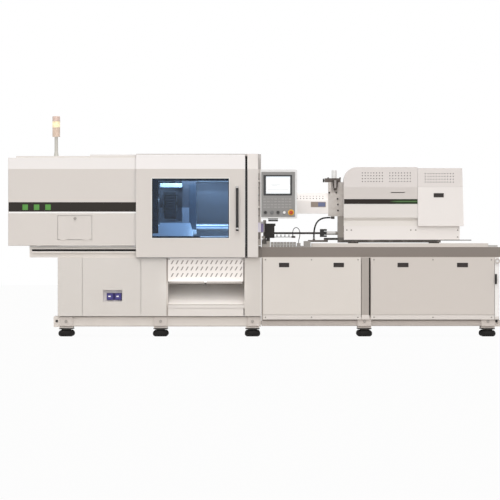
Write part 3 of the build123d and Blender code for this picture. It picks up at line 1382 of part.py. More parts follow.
for name in ("left_button", "start_button", "stop_button"):
    x = button_xs[name]
    reach = (-panel_front - 3 - 12, -panel_front + hole_depth - button_travel - 2)
    button = rod_y(x, reach, button_height, button_radius)
    save(name, button)
knob_x = button_xs["selector_knob"]
knob = rod_y(knob_x, (-panel_front - 3 - 8, -panel_front + 4), button_height, button_radius)
knob += block((knob_x - 4, knob_x + 4), (-panel_front - 3 - 18, -panel_front - 3 - 8),
              (button_height - 13, button_height + 13))
save("selector_knob", knob)
stem = rod_y(estop_x, (-panel_front - 3 - 13, -panel_front + hole_depth - stop_travel - 2), button_height, 9)
head = rod_y(estop_x, (-stop_front, -panel_front - 3 - 12), button_height, 20)
head = fillet(head.edges().sort_by(Axis.Y)[0], 6)
save("estop_button", stem + head)
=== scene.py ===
# %% [markdown]
# An injection moulding machine, dressed in Blender.
# The solids of the machine come from its CAD model as a fixed frame, already in place and in metres.
# This script gives each of them a finish, adds the small pieces that a solid model leaves out,
# and sets up the camera and the light of a plain studio.
# X runs along the machine, the operator stands at -Y, and Z is up from the floor.

# %% Load the machine
import math

import bmesh
import bpy
from mathutils import Matrix, Vector


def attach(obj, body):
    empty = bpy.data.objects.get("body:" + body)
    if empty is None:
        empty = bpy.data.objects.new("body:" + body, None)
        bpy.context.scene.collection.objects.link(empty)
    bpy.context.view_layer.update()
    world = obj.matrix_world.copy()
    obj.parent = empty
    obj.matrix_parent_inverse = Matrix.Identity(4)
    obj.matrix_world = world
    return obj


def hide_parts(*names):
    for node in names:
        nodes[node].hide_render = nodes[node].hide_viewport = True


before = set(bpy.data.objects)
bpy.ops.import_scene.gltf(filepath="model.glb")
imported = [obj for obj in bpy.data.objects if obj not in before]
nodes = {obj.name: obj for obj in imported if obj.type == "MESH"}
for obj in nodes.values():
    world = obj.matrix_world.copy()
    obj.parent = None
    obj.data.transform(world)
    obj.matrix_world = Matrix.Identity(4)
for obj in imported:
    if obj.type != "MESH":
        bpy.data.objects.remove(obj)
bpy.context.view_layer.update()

# %% [markdown]
# The photograph is straight at the front and shows no perspective, so the rear feet hide behind
# the front ones. A very long lens on a distant camera gives that look, and it still behaves
# as a real camera in other views.
# The picture is five metres wide at the machine, its middle a little left of the machine's own.

# %% The camera
SENSOR = 0.036
LENS = 1.08
PICTURE_WIDTH = 5.0
PICTURE_MIDDLE = (-0.056, 0.865)
COVER_FACE = -0.567


def new_object(name, data):
    """An object in the scene, at the origin and unturned."""
    made = bpy.data.objects.new(name, data)
    bpy.context.scene.collection.objects.link(made)
    return made


camera_data = bpy.data.cameras.new("camera")
camera_data.lens = LENS * 1000
camera_data.sensor_width = SENSOR * 1000
camera_data.clip_end = 600
camera = new_object("camera", camera_data)
distance = PICTURE_WIDTH * LENS / SENSOR
camera.location = (PICTURE_MIDDLE[0], COVER_FACE - distance, PICTURE_MIDDLE[1])
camera.rotation_euler = (math.radians(90), 0, 0)
bpy.context.scene.camera = camera
print("camera", round(distance, 2), "m from the doors")

# %% [markdown]
# Two cords show on the machine: a coolant hose that climbs to the feed block, and a thin sensor
# cable. Rubber bends in one smooth line, so each is a single NURBS curve through a few control
# points, with a round bevel of one metre that the radius of each point scales down to its
# thickness. Blender widens a curve's bounding box by that radius, and this way the box stays tight.
# The order is set after the points, or it stays at straight runs.

# %% The two cords
HOSE_ROUTE = [(0.584, -0.212, 0.974), (0.584, -0.212, 1.022), (0.589, -0.200, 1.074),
              (0.602, -0.181, 1.122), (0.628, -0.156, 1.160), (0.666, -0.127, 1.182),
              (0.711, -0.097, 1.190), (0.758, -0.097, 1.190)]
CABLE_ROUTE = [(0.372, -0.331, 1.006), (0.372, -0.331, 1.034), (0.374, -0.336, 1.062),
               (0.388, -0.342, 1.086), (0.412, -0.349, 1.092), (0.433, -0.357, 1.076),
               (0.443, -0.367, 1.048), (0.444, -0.376, 1.018), (0.439, -0.383, 0.990),
               (0.431, -0.387, 0.962), (0.431, -0.387, 0.935)]


def cord_curve(name, route, radius, body, node):
    """One smooth rubber cord along a route, standing for its CAD node."""
    curve = bpy.data.curves.new(name, "CURVE")
    curve.dimensions = "3D"
    line = curve.splines.new("NURBS")
    line.points.add(len(route) - 1)
    for point, place in zip(line.points, route):
        point.co = (*place, 1.0)
        point.radius = radius
    line.order_u = 3
    line.use_endpoint_u = True
    line.resolution_u = 8
    curve.bevel_depth = 1.0
    curve.bevel_resolution = 5
    curve.use_fill_caps = True
    cord = new_object(name, curve)
    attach(cord, body)
    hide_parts(node)
    return cord


hose = cord_curve("coolant_hose_run", HOSE_ROUTE, 0.008, "carriage", "coolant_hose")
cable = cord_curve("sensor_cable_run", CABLE_ROUTE, 0.0035, "machine", "sensor_cable")
print("cords of", len(HOSE_ROUTE), "and", len(CABLE_ROUTE), "points")

# %% [markdown]
# The studio is white on every side. The camera, and mirrors and glass, see plain white,
# while the light that reaches the paint is lower, so that pale paint keeps its colour.
# A Light Path node tells the rays apart, and a Mix Shader picks one of two shaders by it.

# %% The white room
AMBIENT = 0.37
WARM_WHITE = (1.0, 0.985, 0.97, 1.0)


def seen_rays(tree):
    """A socket that is 1 for the rays of the camera, of mirrors and of glass."""
    path = tree.nodes.new("ShaderNodeLightPath")
    total = path.outputs["Is Camera Ray"]
    for name in ("Is Glossy Ray", "Is Transmission Ray"):
        either = tree.nodes.new("ShaderNodeMath")
        either.operation = "MAXIMUM"
        tree.links.new(total, either.inputs[0])
        tree.links.new(path.outputs[name], either.inputs[1])
        total = either.outputs[0]
    return total


def two_ways(tree, share, lit, seen, output):
    """Ends a tree with two shaders: lit, and over it a share of seen."""
    either = tree.nodes.new("ShaderNodeMixShader")
    for source, socket in zip((share, lit.outputs[0], seen.outputs[0]), either.inputs):
        tree.links.new(source, socket)
    tree.links.new(either.outputs[0], tree.nodes.new(output).inputs[0])


world = bpy.data.worlds.new("studio")
bpy.context.scene.world = world
world.use_nodes = True
sky = world.node_tree
sky.nodes.clear()
dim = sky.nodes.new("ShaderNodeBackground")
dim.inputs["Color"].default_value = WARM_WHITE
dim.inputs["Strength"].default_value = AMBIENT
white = sky.nodes.new("ShaderNodeBackground")
white.inputs["Color"].default_value = (1.0, 1.0, 1.0, 1.0)
white.inputs["Strength"].default_value = 1.0
two_ways(sky, seen_rays(sky), dim, white, "ShaderNodeOutputWorld")
bpy.context.scene.view_settings.view_transform = "Standard"
print("the room gives", AMBIENT, "of its white to the paint")

# %% [markdown]
# One large soft lamp stands for the ceiling lights. It shines down and back at the front,
# so the leaning bands at the top of the covers catch more of it than the upright faces do.
# A second one comes from behind the camera and fills the recesses, as a large diffuser would.
# It makes no glints, because a lamp beside the camera would veil the glass. Three small lamps
# stand for light that the machine shows inside: two in the mould space, one in the chute's bay.

# %% Lamps
COOL_TUBE = (0.92, 0.97, 1.0)


def lamp(name, kind, power, shine):
    """A lamp that shines along a direction."""
    light = bpy.data.lights.new(name, kind)
    light.energy = power
    holder = new_object(name, light)
    holder.rotation_euler = Vector(shine).to_track_quat("-Z", "Y").to_euler()
    print(name, power)
    return holder


def soft_sun(name, strength, elevation, spread, shiny=True):
    """A distant lamp in front of the machine, at an elevation, with soft shadows."""
    height = math.radians(elevation)
    holder = lamp(name, "SUN", strength, (0.03, math.cos(height), -math.sin(height)))
    holder.data.angle = math.radians(spread)
    holder.visible_glossy = shiny
    holder.visible_transmission = shiny


def small_tube(name, watts, size, place, aim, mirrored=True):
    """A small rectangular lamp that the camera doesn't see; mirrored lets it make glints."""
    holder = lamp(name, "AREA", watts, aim)
    holder.data.shape = "RECTANGLE"
    holder.data.size, holder.data.size_y = size
    holder.data.color = COOL_TUBE
    holder.location = place
    holder.visible_camera = False
    holder.visible_glossy = mirrored


soft_sun("ceiling", 1.52, 56, 60)
soft_sun("diffuser", 1.0, 13, 50, shiny=False)
small_tube("work_light", 6.0, (0.75, 0.08), (-0.65, -0.50, 1.70), (0.0, 0.55, -0.85))
small_tube("bar_light", 0.5, (0.44, 0.03), (-0.40, -0.46, 1.03), (0.0, 0.23, 0.06))
small_tube("bay_light", 0.34, (0.70, 0.10), (-0.50, -0.66, 0.50), (0.0, 0.5, -0.12), mirrored=False)

# %% [markdown]
# The floor shows as white as the room does, but for a small share of plain matt paint,
# and that share is what keeps the soft shadow under the machine.

# %% The floor
FLOOR_SIZE = 220.0
WHITE_SHARE = 0.95

floor_shape = bmesh.new()
bmesh.ops.create_grid(floor_shape, x_segments=2, y_segments=2, size=FLOOR_SIZE)
floor_mesh = bpy.data.meshes.new("floor")
floor_shape.to_mesh(floor_mesh)
floor_shape.free()
floor = new_object("floor", floor_mesh)
floor_paint = bpy.data.materials.new("floor")
floor_paint.use_nodes = True
ground = floor_paint.node_tree
ground.nodes.clear()
matt = ground.nodes.new("ShaderNodeBsdfDiffuse")
matt.inputs["Color"].default_value = (0.68, 0.67, 0.66, 1.0)
glow = ground.nodes.new("ShaderNodeEmission")
glow.inputs["Strength"].default_value = 1.0
share = ground.nodes.new("ShaderNodeMath")
share.operation = "MULTIPLY"
share.inputs[1].default_value = WHITE_SHARE
ground.links.new(seen_rays(ground), share.inputs[0])
two_ways(ground, share.outputs[0], matt, glow, "ShaderNodeOutputMaterial")
floor_mesh.materials.append(floor_paint)
print("floor", FLOOR_SIZE, "m to each side")

# %% [markdown]
# Finishes are shader trees. A Wire is one socket of a tree: a sum written with wires adds
# the Math nodes for it, so a mask such as (x > 0.2) * (z < 0.5) reads as plain arithmetic.
# Python looks such sums up as methods, and a loop gives the class one for each Math operation.

# %% Wires
SUMS = {"add": "ADD", "radd": "ADD", "sub": "SUBTRACT", "mul": "MULTIPLY", "rmul": "MULTIPLY",
        "truediv": "DIVIDE", "gt": "GREATER_THAN", "lt": "LESS_THAN", "mod": "FLOORED_MODULO"}


class Wire:
    """One output socket of a finish, on which sums are written."""

    def __init__(self, finish, socket):
        self.finish = finish
        self.socket = socket

    def sum(self, operation, first, second=0.0):
        return self.finish.node("ShaderNodeMath", {"operation": operation}, {0: first, 1: second})

    def __rsub__(self, other):
        return self.sum("SUBTRACT", other, self)

    def __abs__(self):
        return self.sum("ABSOLUTE", self)

    def between(self, low, high):
        """A mask that is 1 where the wire lies between two limits."""
        return (self > low) * (self < high)


def sum_method(operation):
    """The method that writes one kind of sum."""
    return lambda self, other: self.sum(operation, self, other)


for short_name, operation in SUMS.items():
    setattr(Wire, f"__{short_name}__", sum_method(operation))
print("wires know", len(SUMS), "sums")

# %% [markdown]
# A Finish starts as one plain coat and gets others laid over it by masks, as a machine is sprayed,
# fitted with black parts and then gathers dust. Colours are written as they look in a picture,
# 0 to 255, and turned into the linear numbers that light adds up in.

# %% Finishes
MIDDLE_Y = 0.033


def linear(colour):
    """A colour of 0 to 255 as the linear numbers of a shader."""
    parts = [part / 255 for part in colour]
    return tuple(p / 12.92 if p <= 0.04045 else ((p + 0.055) / 1.055) ** 2.4 for p in parts) + (1.0,)


class Finish:
    """A Principled material: a base coat, other coats over it by masks, and a bump."""

    def __init__(self, name, colour, roughness=0.45, metallic=0.0, constants=None):
        self.material = bpy.data.materials.new(name)
        self.material.use_nodes = True
        self.tree = self.material.node_tree
        self.shader = self.tree.nodes["Principled BSDF"]
        for socket, value in (constants or {}).items():
            self.shader.inputs[socket].default_value = value
        self.place = self.node("ShaderNodeTexCoord", {}, {}, "Object")
        self.x, self.y, self.z = (self.node("ShaderNodeSeparateXYZ", {}, {0: self.place}, axis)
                                  for axis in range(3))
        self.depth = abs(self.y - MIDDLE_Y)
        self.colour = linear(colour)
        self.roughness = roughness
        self.metallic = metallic
        self.relief = 0.0

    def node(self, kind, settings=None, sockets=None, output=0):
        """Any shader node: its settings first, then its sockets as values or wires."""
        made = self.tree.nodes.new(kind)
        for key, value in (settings or {}).items():
            setattr(made, key, value)
        for key, value in (sockets or {}).items():
            self.feed(made.inputs[key], value)
        return Wire(self, made.outputs[output])

    def feed(self, socket, value):
        """Links a wire to a socket, or sets the socket to a plain value."""
        if isinstance(value, Wire):
            self.tree.links.new(value.socket, socket)
        else:
            socket.default_value = value

    def mix(self, mask, under, over):
        """The colour under where the mask is 0, and over where it is 1."""
        return self.node("ShaderNodeMix", {"data_type": "RGBA"}, {0: mask, 6: under, 7: over}, 2)

    def noise(self, scale, detail=2.0, stretch=(1, 1, 1)):
        """Cloudy noise around 0.5, of a scale per metre, drawn out along an axis."""
        place = self.node("ShaderNodeMapping", {}, {0: self.place, 3: stretch})
        return self.node("ShaderNodeTexNoise", {}, {0: place, 2: scale, 3: detail}, 0)

    def over(self, mask, colour, roughness=None, metallic=None):
        """Lays another coat over this one where the mask is 1."""
        self.colour = self.mix(mask, self.colour, linear(colour))
        if roughness is not None:
            self.roughness = self.roughness * (1.0 - mask) + roughness * mask
        if metallic is not None:
            self.metallic = self.metallic * (1.0 - mask) + metallic * mask

    def shade(self, amount, scale, detail=2.0, stretch=(1, 1, 1)):
        """Slow darker and lighter clouds in the coat."""
        cloud = self.noise(scale, detail, stretch)
        brightness = 1.0 - amount + 2 * amount * cloud
        self.colour = self.node("ShaderNodeHueSaturation", {}, {4: self.colour, 2: brightness})

    def bump(self, height):
        self.relief = height + self.relief

    def glow(self, mask, colour, strength):
        """Lets the finish give light where the mask is 1."""
        light = self.mix(mask, (0.0, 0.0, 0.0, 1.0), colour)
        self.tree.links.new(light.socket, self.shader.inputs["Emission Color"])
        self.shader.inputs["Emission Strength"].default_value = strength

    def done(self, strength=0.25, distance=0.0005):
        """Wires the coats to the shader and gives the material."""
        for socket, value in (("Base Color", self.colour), ("Roughness", self.roughness),
                              ("Metallic", self.metallic)):
            self.feed(self.shader.inputs[socket], value)
        if isinstance(self.relief, Wire):
            bump = self.node("ShaderNodeBump", {}, {"Strength": strength, "Distance": distance,
                                                    "Height": self.relief})
            self.tree.links.new(bump.socket, self.shader.inputs["Normal"])
        return self.material


print("pale paint is", [round(part, 3) for part in linear((217, 210, 204))[:3]], "in light")

# %% [markdown]
# Many finishes are one coat with clouds in its tone and a fine grain, and bare metals
# have grinding marks as well, which streak their sheen. Two functions make those,
# and wear puts a material on nodes of the CAD model.

# %% Plain finishes
def grained(name, colour, roughness, metallic=0.0, clouds=None, grain=(400, 2), strength=0.15,
            constants=None):
    """One coat; clouds and grain are given as shade and noise take them."""
    coat = Finish(name, colour, roughness, metallic, constants)
    if clouds:
        coat.shade(*clouds)
    coat.bump(coat.noise(*grain))
    return coat.done(strength)


def brushed(name, colour, roughness, metallic, clouds, streaks, grain, strength):
    """Bare metal; streaks are an amount of roughness and the noise that spreads it."""
    metal = Finish(name, colour, roughness, metallic)
    metal.shade(*clouds)
    metal.roughness = metal.roughness + streaks[0] * metal.noise(*streaks[1:])
    metal.bump(metal.noise(*grain))
    return metal.done(strength)


def wear(material, *names):
    """Puts a material in every slot of some CAD nodes."""
    for name in names:
        for slot in nodes[name].material_slots:
            slot.material = material


print("the machine has", len(nodes), "nodes to dress")

# %% [markdown]
# Nearly every panel is powder coated steel in a warm off-white. Powder melts into a skin
# with a fine orange peel, a satin sheen and slightly uneven tone, and dust settles low down.
# One function sprays each panel group in its own tone.

# %% Powder coat
RUBBER = (30, 28, 27)
BLACK = (38, 35, 33)
GRIP = (48, 39, 36)
PANEL = (216, 209, 203)
BASE_PANEL = (214, 208, 202)
PALE_PANEL = (234, 228, 224)
DUST_TOP = 0.9


def powder_coat(name, colour, roughness=0.42, dust=0.5):
    """A powder coat with orange peel, uneven tone and dust near the floor."""
    coat = Finish(name, colour, roughness, constants={"Coat Weight": 0.12, "Coat Roughness": 0.25})
    coat.shade(0.018, 1.4)
    low_dust = coat.node("ShaderNodeMapRange", {}, {0: coat.z, 1: 0.0, 2: DUST_TOP, 3: dust, 4: 0.0})
    coat.over(low_dust * coat.noise(5, 4) * 0.35, (176, 166, 154), 0.7)
    coat.roughness = coat.roughness + 0.08 * coat.noise(24, 3)
    coat.bump(coat.noise(420, 1))
    return coat


for node, name, *paint in (("cover_roof", "roof_paint", (236, 232, 229)),
                           ("cover_end", "end_paint", PANEL),
                           ("unit_skirt", "skirt_paint", PALE_PANEL),
                           ("clamp_frame", "frame_paint", (222, 214, 207), 0.5, 0.9),
                           ("injection_frame", "injection_frame_paint", (196, 187, 180), 0.5, 0.9)):
    wear(powder_coat(name, *paint).done(), node)
print("sprayed the plain panels and both frames")

# %% [markdown]
# Other panels change their tone with the place: painted light and shade where they lean, fold back
# or lie in the shade. The vent panel ends in a dark latch tab, the base has its lower post in a darker
# tone and the sill of the chute's bay painted lighter against the shade of the door above it, and the
# front unit cover has painted shade above its band and gets paler from its band down.

# %% Panels with zones
LATCH_TAB = 0.5405

coat = powder_coat("vent_paint", (241, 234, 229))
coat.over(coat.z < LATCH_TAB, (70, 64, 60))
wear(coat.done(), "vent_panel")

coat = powder_coat("base_paint", BASE_PANEL)
lower_post = coat.x > -0.112
coat.over(lower_post, (208, 201, 194))
# Painted light: the sill is painted lighter against the shade of the door above it.
lightened_bay_sill = coat.x.between(-0.886, -0.114) * (coat.z < 0.31)
coat.over(lightened_bay_sill, (219, 212, 206))
wear(coat.done(), "base_panels")

coat = powder_coat("front_unit_paint", (214, 207, 203))
# Painted shade above the band; below it the tones get paler.
painted_shade_above_band = coat.z.between(1.380, 1.491)
coat.over(painted_shade_above_band, (209, 202, 197))
for level, tone in ((1.327, (224, 218, 213)), (1.192, (232, 226, 220))):
    coat.over(coat.z < level, tone)
wear(coat.done(), "unit_cover_front")
print("sprayed the panels with zones")

# %% [markdown]
# The clamp covers and the hatch share one paint, hinge knuckles and all, so that the hatch
# is hardly seen. Two steels serve the whole machine: turned steel, with grooves that run round
# the X axis, and dull zinc plating for the hatch's quarter-turn lock, screws and bolts.

# %% Clamp covers, hatch and lock
BAND_FOOT = 1.677

coat = powder_coat("clamp_cover_paint", PANEL)
# Painted light: the leaning band at the top is painted a little lighter than the upright face.
coat.over(coat.z > BAND_FOOT, (222, 217, 214))
wear(coat.done(), "cover_front", "cover_rear", "access_hatch")

turned_steel = brushed("turned_steel", (186, 184, 182), 0.3, 1.0, (0.06, 30, 3, (1, 12, 12)),
                       (0.18, 90, 3, (0.2, 6, 6)), (700, 2, (0.05, 1, 1)), 0.15)
dull_steel = grained("zinc_plated", (166, 160, 154), 0.5, 0.25, clouds=(0.08, 60, 3))
wear(dull_steel, "hatch_lock")
print("covered the clamp")

# %% [markdown]
# The doors carry more than paint: guide shoes of black plastic below, steel rollers above,
# and a thin bright aluminium frame round the window. The frame is a band of places in X and Z.
# Depths are measured from the machine's middle, so that they serve both doors.

# %% Sliding doors
WINDOW = ((-1.036, -0.266), (0.985, 1.580))
WINDOW_TRIM = 0.007
TRIM_DEPTH = 0.6455
INNER_FACE_DEPTH = 0.6425
SHOE_DEPTH = 0.595
SHOE_TOP = 0.905
ROLLER_DEPTH = 0.56
ROLLER_FOOT = 1.75


def door_paint(name, face_side):
    """Door paint with its shoes and rollers; face_side is -1 in front, where the window is."""
    coat = powder_coat(name, PANEL)
    # Painted light: the leaning band is painted a little lighter than the upright face.
    coat.over(coat.z > BAND_FOOT, (226, 221, 219))
    # Painted light: the faces inside the mould space are painted a paler blue grey, against their
    # shade.
    coat.over((coat.depth < INNER_FACE_DEPTH) * (coat.z < BAND_FOOT), (222, 226, 234), 0.45)
    trim = coat.x.between(WINDOW[0][0] - WINDOW_TRIM, WINDOW[0][1] + WINDOW_TRIM)
    trim = trim * coat.z.between(WINDOW[1][0] - WINDOW_TRIM, WINDOW[1][1] + WINDOW_TRIM)
    proud = (coat.y * face_side) > (TRIM_DEPTH + MIDDLE_Y * face_side)
    coat.over(trim * proud * (1.0 if face_side < 0 else 0.0), (232, 230, 228), 0.4, 0.2)
    coat.over((coat.depth < SHOE_DEPTH) * (coat.z < SHOE_TOP), (60, 58, 56), 0.6)
    coat.over((coat.depth < ROLLER_DEPTH) * (coat.z > ROLLER_FOOT), (150, 146, 142), 0.4, 0.8)
    return coat.done()


wear(door_paint("front_door_paint", -1), "front_door")
wear(door_paint("rear_door_paint", 1), "rear_door")
print("window opening", [round(high - low, 3) for low, high in WINDOW])

# %% [markdown]
# The window is a sheet of blue tinted polycarbonate. Transmission with a pale blue colour
# tints what is seen through it and still mirrors the room faintly.

# %% Tinted window
glass = Finish("blue_polycarbonate", (152, 188, 230), 0.03, 0.0,
               {"Transmission Weight": 1.0, "IOR": 1.35})
glass.roughness = 0.02 + 0.03 * glass.noise(6, 3)
glass.shade(0.03, 2.0)
wear(glass.done(), "front_window")
print("glazed the front door")

# %% [markdown]
# Black rubber, black plastic and grey plastic turn up all over the machine.
# Rubber is matt with a fine skin, moulded plastic has a light spark-eroded grain.
# The cable chain is grey, with painted shade in the gaps between its links at an even pitch.

# %% Rubber and plastics
CHAIN_START = 0.150
CHAIN_END = 0.406
LINK_PITCH = 0.032
LINK_LENGTH = 0.0255

black_rubber = grained("black_rubber", RUBBER, 0.8, clouds=(0.12, 18, 3), grain=(260, 3),
                       strength=0.3, constants={"Specular IOR Level": 0.25})
for cord in (hose, cable):
    cord.data.materials.append(black_rubber)
black_plastic = grained("black_plastic", BLACK, 0.5, clouds=(0.06, 25), grain=(600, 2),
                        strength=0.2, constants={"Specular IOR Level": 0.35})

grey = Finish("grey_plastic", (150, 146, 141), 0.5)
grey.shade(0.05, 20)
# Painted shade in the gaps between the links.
shaded_link_gaps = ((grey.x - CHAIN_START) % LINK_PITCH) > LINK_LENGTH
grey.over(shaded_link_gaps * (grey.x < CHAIN_END), (96, 92, 88), 0.7)
grey.bump(grey.noise(500, 2))
wear(grey.done(0.2), "cable_chain")
wear(black_rubber, "clamp_belt")
wear(black_plastic, "main_switch")
print("rubber, plastic and the cable chain")

# %% [markdown]
# The beds are welded beams in grey and off-white paint, with machined strips on top where things
# slide. A machined face is bright steel with fine cutter marks along its length.

# %% Beds, rails and tracks
BED_END = 0.0235
SLIDEWAY = 0.9055

bed = powder_coat("clamp_bed_paint", (228, 222, 215), 0.5)
joint_plate = bed.x > BED_END
bed.over(joint_plate, (130, 121, 114), 0.5)
bed.over((bed.z > SLIDEWAY) * (bed.depth > 0.3), (180, 176, 172), 0.4, 0.2)
# Painted light: the flange is painted paler against the shadow of the cover above it.
lightened_flange = bed.z.between(0.893, SLIDEWAY) * (bed.x < BED_END)
bed.over(lightened_flange, (250, 247, 244), 0.5)
wear(bed.done(), "clamp_bed")

bed = powder_coat("injection_bed_paint", (128, 119, 112), 0.5)
machined_top = bed.z > 0.8945
bed.over(machined_top, (214, 209, 203), 0.4, 0.15)
wear(bed.done(), "injection_bed")

wear(brushed("ground_rail", (196, 194, 191), 0.22, 1.0, (0.05, 40, 3, (0.1, 1, 1)),
             (0.15, 60, 3, (0.1, 4, 4)), (500, 2, (0.04, 1, 1)), 0.12), "bed_rails")
bare_aluminium = brushed("bare_aluminium", (200, 199, 197), 0.34, 0.9, (0.05, 14, 3, (0.2, 3, 3)),
                         (0.15, 80, 3, (0.1, 3, 3)), (450, 2, (0.1, 1, 1)), 0.12)
wear(bare_aluminium, "motor_pulley")

track = Finish("anodised_track", (226, 220, 214), 0.45, 0.15)
track.shade(0.03, 8, 2, (0.2, 3, 3))
# Painted light and shade: the lip is painted darker as shade, the foot lighter as light, and the slot
# black as shade in the groove.
shaded_rail_slot = track.z.between(0.853, 0.879) * (track.depth < 0.585)
shaded_lip = track.z.between(0.879, 0.893)
lit_foot = track.z.between(0.834, 0.853)
track.over(shaded_lip, (170, 163, 157))
track.over(lit_foot, (246, 239, 233))
track.over(shaded_rail_slot, RUBBER, 0.7)
track.bump(track.noise(450, 2, (0.1, 1, 1)))
wear(track.done(0.1), "door_tracks")
print("beds painted, rails ground")

# %% [markdown]
# The chute is folded from galvanised sheet. Weathered zinc is pale and mottled, and shows faint
# crystal patches, which are made with a Voronoi cell colour.

# %% Chute
zinc = Finish("galvanised_chute", (242, 235, 229), 0.6, 0.0)
crystals = zinc.node("ShaderNodeTexVoronoi", {}, {"Vector": zinc.place, "Scale": 60.0}, "Color")
zinc.colour = zinc.node("ShaderNodeMix", {"data_type": "RGBA", "blend_type": "SOFT_LIGHT"},
                        {0: 0.06, 6: zinc.colour, 7: crystals}, 2)
zinc.over(zinc.noise(3, 4, (1, 1, 3)) * 0.2, (170, 161, 153), 0.6)
zinc.bump(zinc.noise(200, 3))
wear(zinc.done(0.1), "chute")
print("chute galvanised")

# %% [markdown]
# The fixed guard has the covers' paint, black rubber bumpers where the doors close,
# and steel pivot arms for the operator panel. The bumpers are a thin band in X at each side.

# %% Guard frame
guard = powder_coat("guard_paint", (219, 212, 207))
bumper = guard.x.between(-0.1045, -0.0805) * (guard.depth > 0.578) * (guard.z < 1.665)
guard.over(bumper, RUBBER, 0.75)
# Painted shade: the side wall of the post is darker above and below, with a lilac white zone between.
post_side = (guard.x > 0.0235) * (guard.x < 0.0545)
for zone, tone in ((guard.z > 1.672, (172, 166, 162)), (guard.z.between(1.044, 1.140), (226, 220, 230)),
                   (guard.z < 1.044, (168, 159, 152))):
    guard.over(post_side * zone, tone, 0.5)
arms = guard.x.between(0.0545, 0.08) * (guard.depth > 0.62)
guard.over(arms, (188, 186, 184), 0.4, 0.7)
wear(guard.done(), "guard_frame")
print("guard sprayed")

# %% [markdown]
# Platens are grey iron castings: painted or rough on the sides, milled on the faces and edges.
# Casting skin has a coarse grain, and milled faces show as brighter metal. The moving platen
# has painted shade in its upper half, and its foot is painted pale as painted light.

# %% Castings
DARK_ABOVE = 1.290
PALE_BELOW = 1.135


def casting(name, colour, milled=None, shaded_top_lit_foot=False):
    """Cast iron with a coarse skin; milled is a function that gives a mask of places."""
    iron = Finish(name, colour, 0.6, 0.1)
    # Painted shade: the upper half is darker.
    if shaded_top_lit_foot:
        iron.over(iron.z > DARK_ABOVE, (84, 84, 88))
    iron.shade(0.10, 9, 4)
    iron.over((iron.noise(55, 3) - 0.5) * 1.2, (120, 112, 104), 0.7)
    # Painted light: the foot is pale.
    if shaded_top_lit_foot:
        iron.over(iron.z < PALE_BELOW, (234, 234, 232), 0.5, 0.0)
    if milled:
        iron.over(milled(iron), (190, 188, 186), 0.3, 0.85)
    iron.bump(iron.noise(160, 4))
    return iron.done(0.5, 0.001)


def both_faces(iron):
    """The mould face of the fixed platen, and the middle of its back."""
    return (iron.x < -0.2495) + (iron.x > -0.0605) * (iron.depth < 0.2)


wear(casting("fixed_platen_iron", (206, 204, 201), both_faces), "fixed_platen")
wear(casting("thrust_platen_iron", (196, 193, 189), lambda iron: iron.x > -1.9705), "thrust_platen")
wear(casting("moving_platen_iron", (160, 160, 162), lambda iron: iron.x > -0.5915, shaded_top_lit_foot=True),
     "moving_platen")
wear(casting("drive_plate_iron", (120, 116, 112)), "injection_drive")
print("four castings")

# %% [markdown]
# Tie bars are hard chromed: bright, a little dulled by use, with faint grinding lines round them.
# The big nuts on the bars' ends are phosphated, so nearly black. The other shafts are turned steel.

# %% Chrome, screws and the ejector
chrome = Finish("hard_chrome", (206, 207, 208), 0.28, 0.9)
chrome.roughness = chrome.roughness + 0.12 * chrome.noise(50, 3, (0.1, 4, 4))
nuts = (chrome.x < -2.1445) + chrome.x.between(-0.0605, -0.0025)
chrome.over(nuts, (70, 66, 62), 0.45, 0.7)
chrome.bump(chrome.noise(600, 2, (0.05, 1, 1)))
wear(chrome.done(0.1), "tie_bars")
wear(turned_steel, "thrust_tube", "ejector", "clamp_screw", "barrel", "injection_screw")
print("chrome and steel shafts")

# %% [markdown]
# Motors are black anodised blocks. The carriage motor's node also holds its pale foot and gear
# housing and a dark grey scale strip, and the carriage has a steel spindle and a grey upright,
# so both finishes change along X.

# %% Motors and the carriage
motor_black = grained("motor_black", (36, 33, 31), 0.5, clouds=(0.1, 30, 3), grain=(350, 3),
                      strength=0.25)
wear(motor_black, "clamp_motor")

drive = Finish("carriage_motor_finish", (38, 33, 30), 0.5)
for pale in ((drive.x < 0.1450) * (drive.z < 0.9550), drive.x < 0.0935):
    drive.over(pale, (190, 182, 174), 0.5, 0.0)
scale_strip = (drive.x > 0.1995) * (drive.z < 1.0215)
drive.over(scale_strip, (76, 70, 66), 0.6, 0.0)
drive.bump(drive.noise(350, 3))
wear(drive.done(0.25), "carriage_motor")

base = Finish("carriage_base_finish", (66, 61, 57), 0.55, 0.0)
base.shade(0.08, 12, 3)
base.over((base.noise(14, 4) - 0.48) * (base.x > 0.79) * 1.8, (150, 142, 136), 0.5)
yoke = base.x.between(0.60, 0.712) * (base.z > 0.99)
base.over(yoke, (30, 28, 26), 0.5)
spindle = base.x.between(0.7120, 0.7995) * base.z.between(1.010, 1.058)
base.over(spindle, (190, 187, 184), 0.35, 0.1)
upright = base.x.between(0.800, 0.885) * (base.z > 0.9900)
base.over(upright, (134, 127, 120), 0.5)
tongue = (base.z < 0.9745) * (base.x < 0.9)
base.over(tongue * (base.x < 0.712), (112, 104, 98), 0.45, 0.2)
base.bump(base.noise(240, 3))
wear(base.done(0.25), "carriage_base")
print("motors and carriage")

# %% [markdown]
# Heater bands are mica heaters in a steel jacket, blued and browned by the heat.
# A slow noise along the barrel mixes straw and blue over grey steel.

# %% Heater bands
jacket = Finish("heater_jacket", (168, 162, 156), 0.38, 0.85)
jacket.over(jacket.noise(14, 3) * 0.7, (150, 128, 104), 0.42)
jacket.over((jacket.noise(22, 3) > 0.58) * 0.4, (112, 112, 128))
jacket.bump(jacket.noise(300, 2, (3, 1, 1)))
wear(jacket.done(0.2), "heater_bands")
print("heater jackets")

# %% [markdown]
# The barrel cover is a painted hood with a bare rating plate on it: grey aluminium,
# with a darker right half. The plate belongs to the hood's node, so a mask in X, Z and depth finds it.

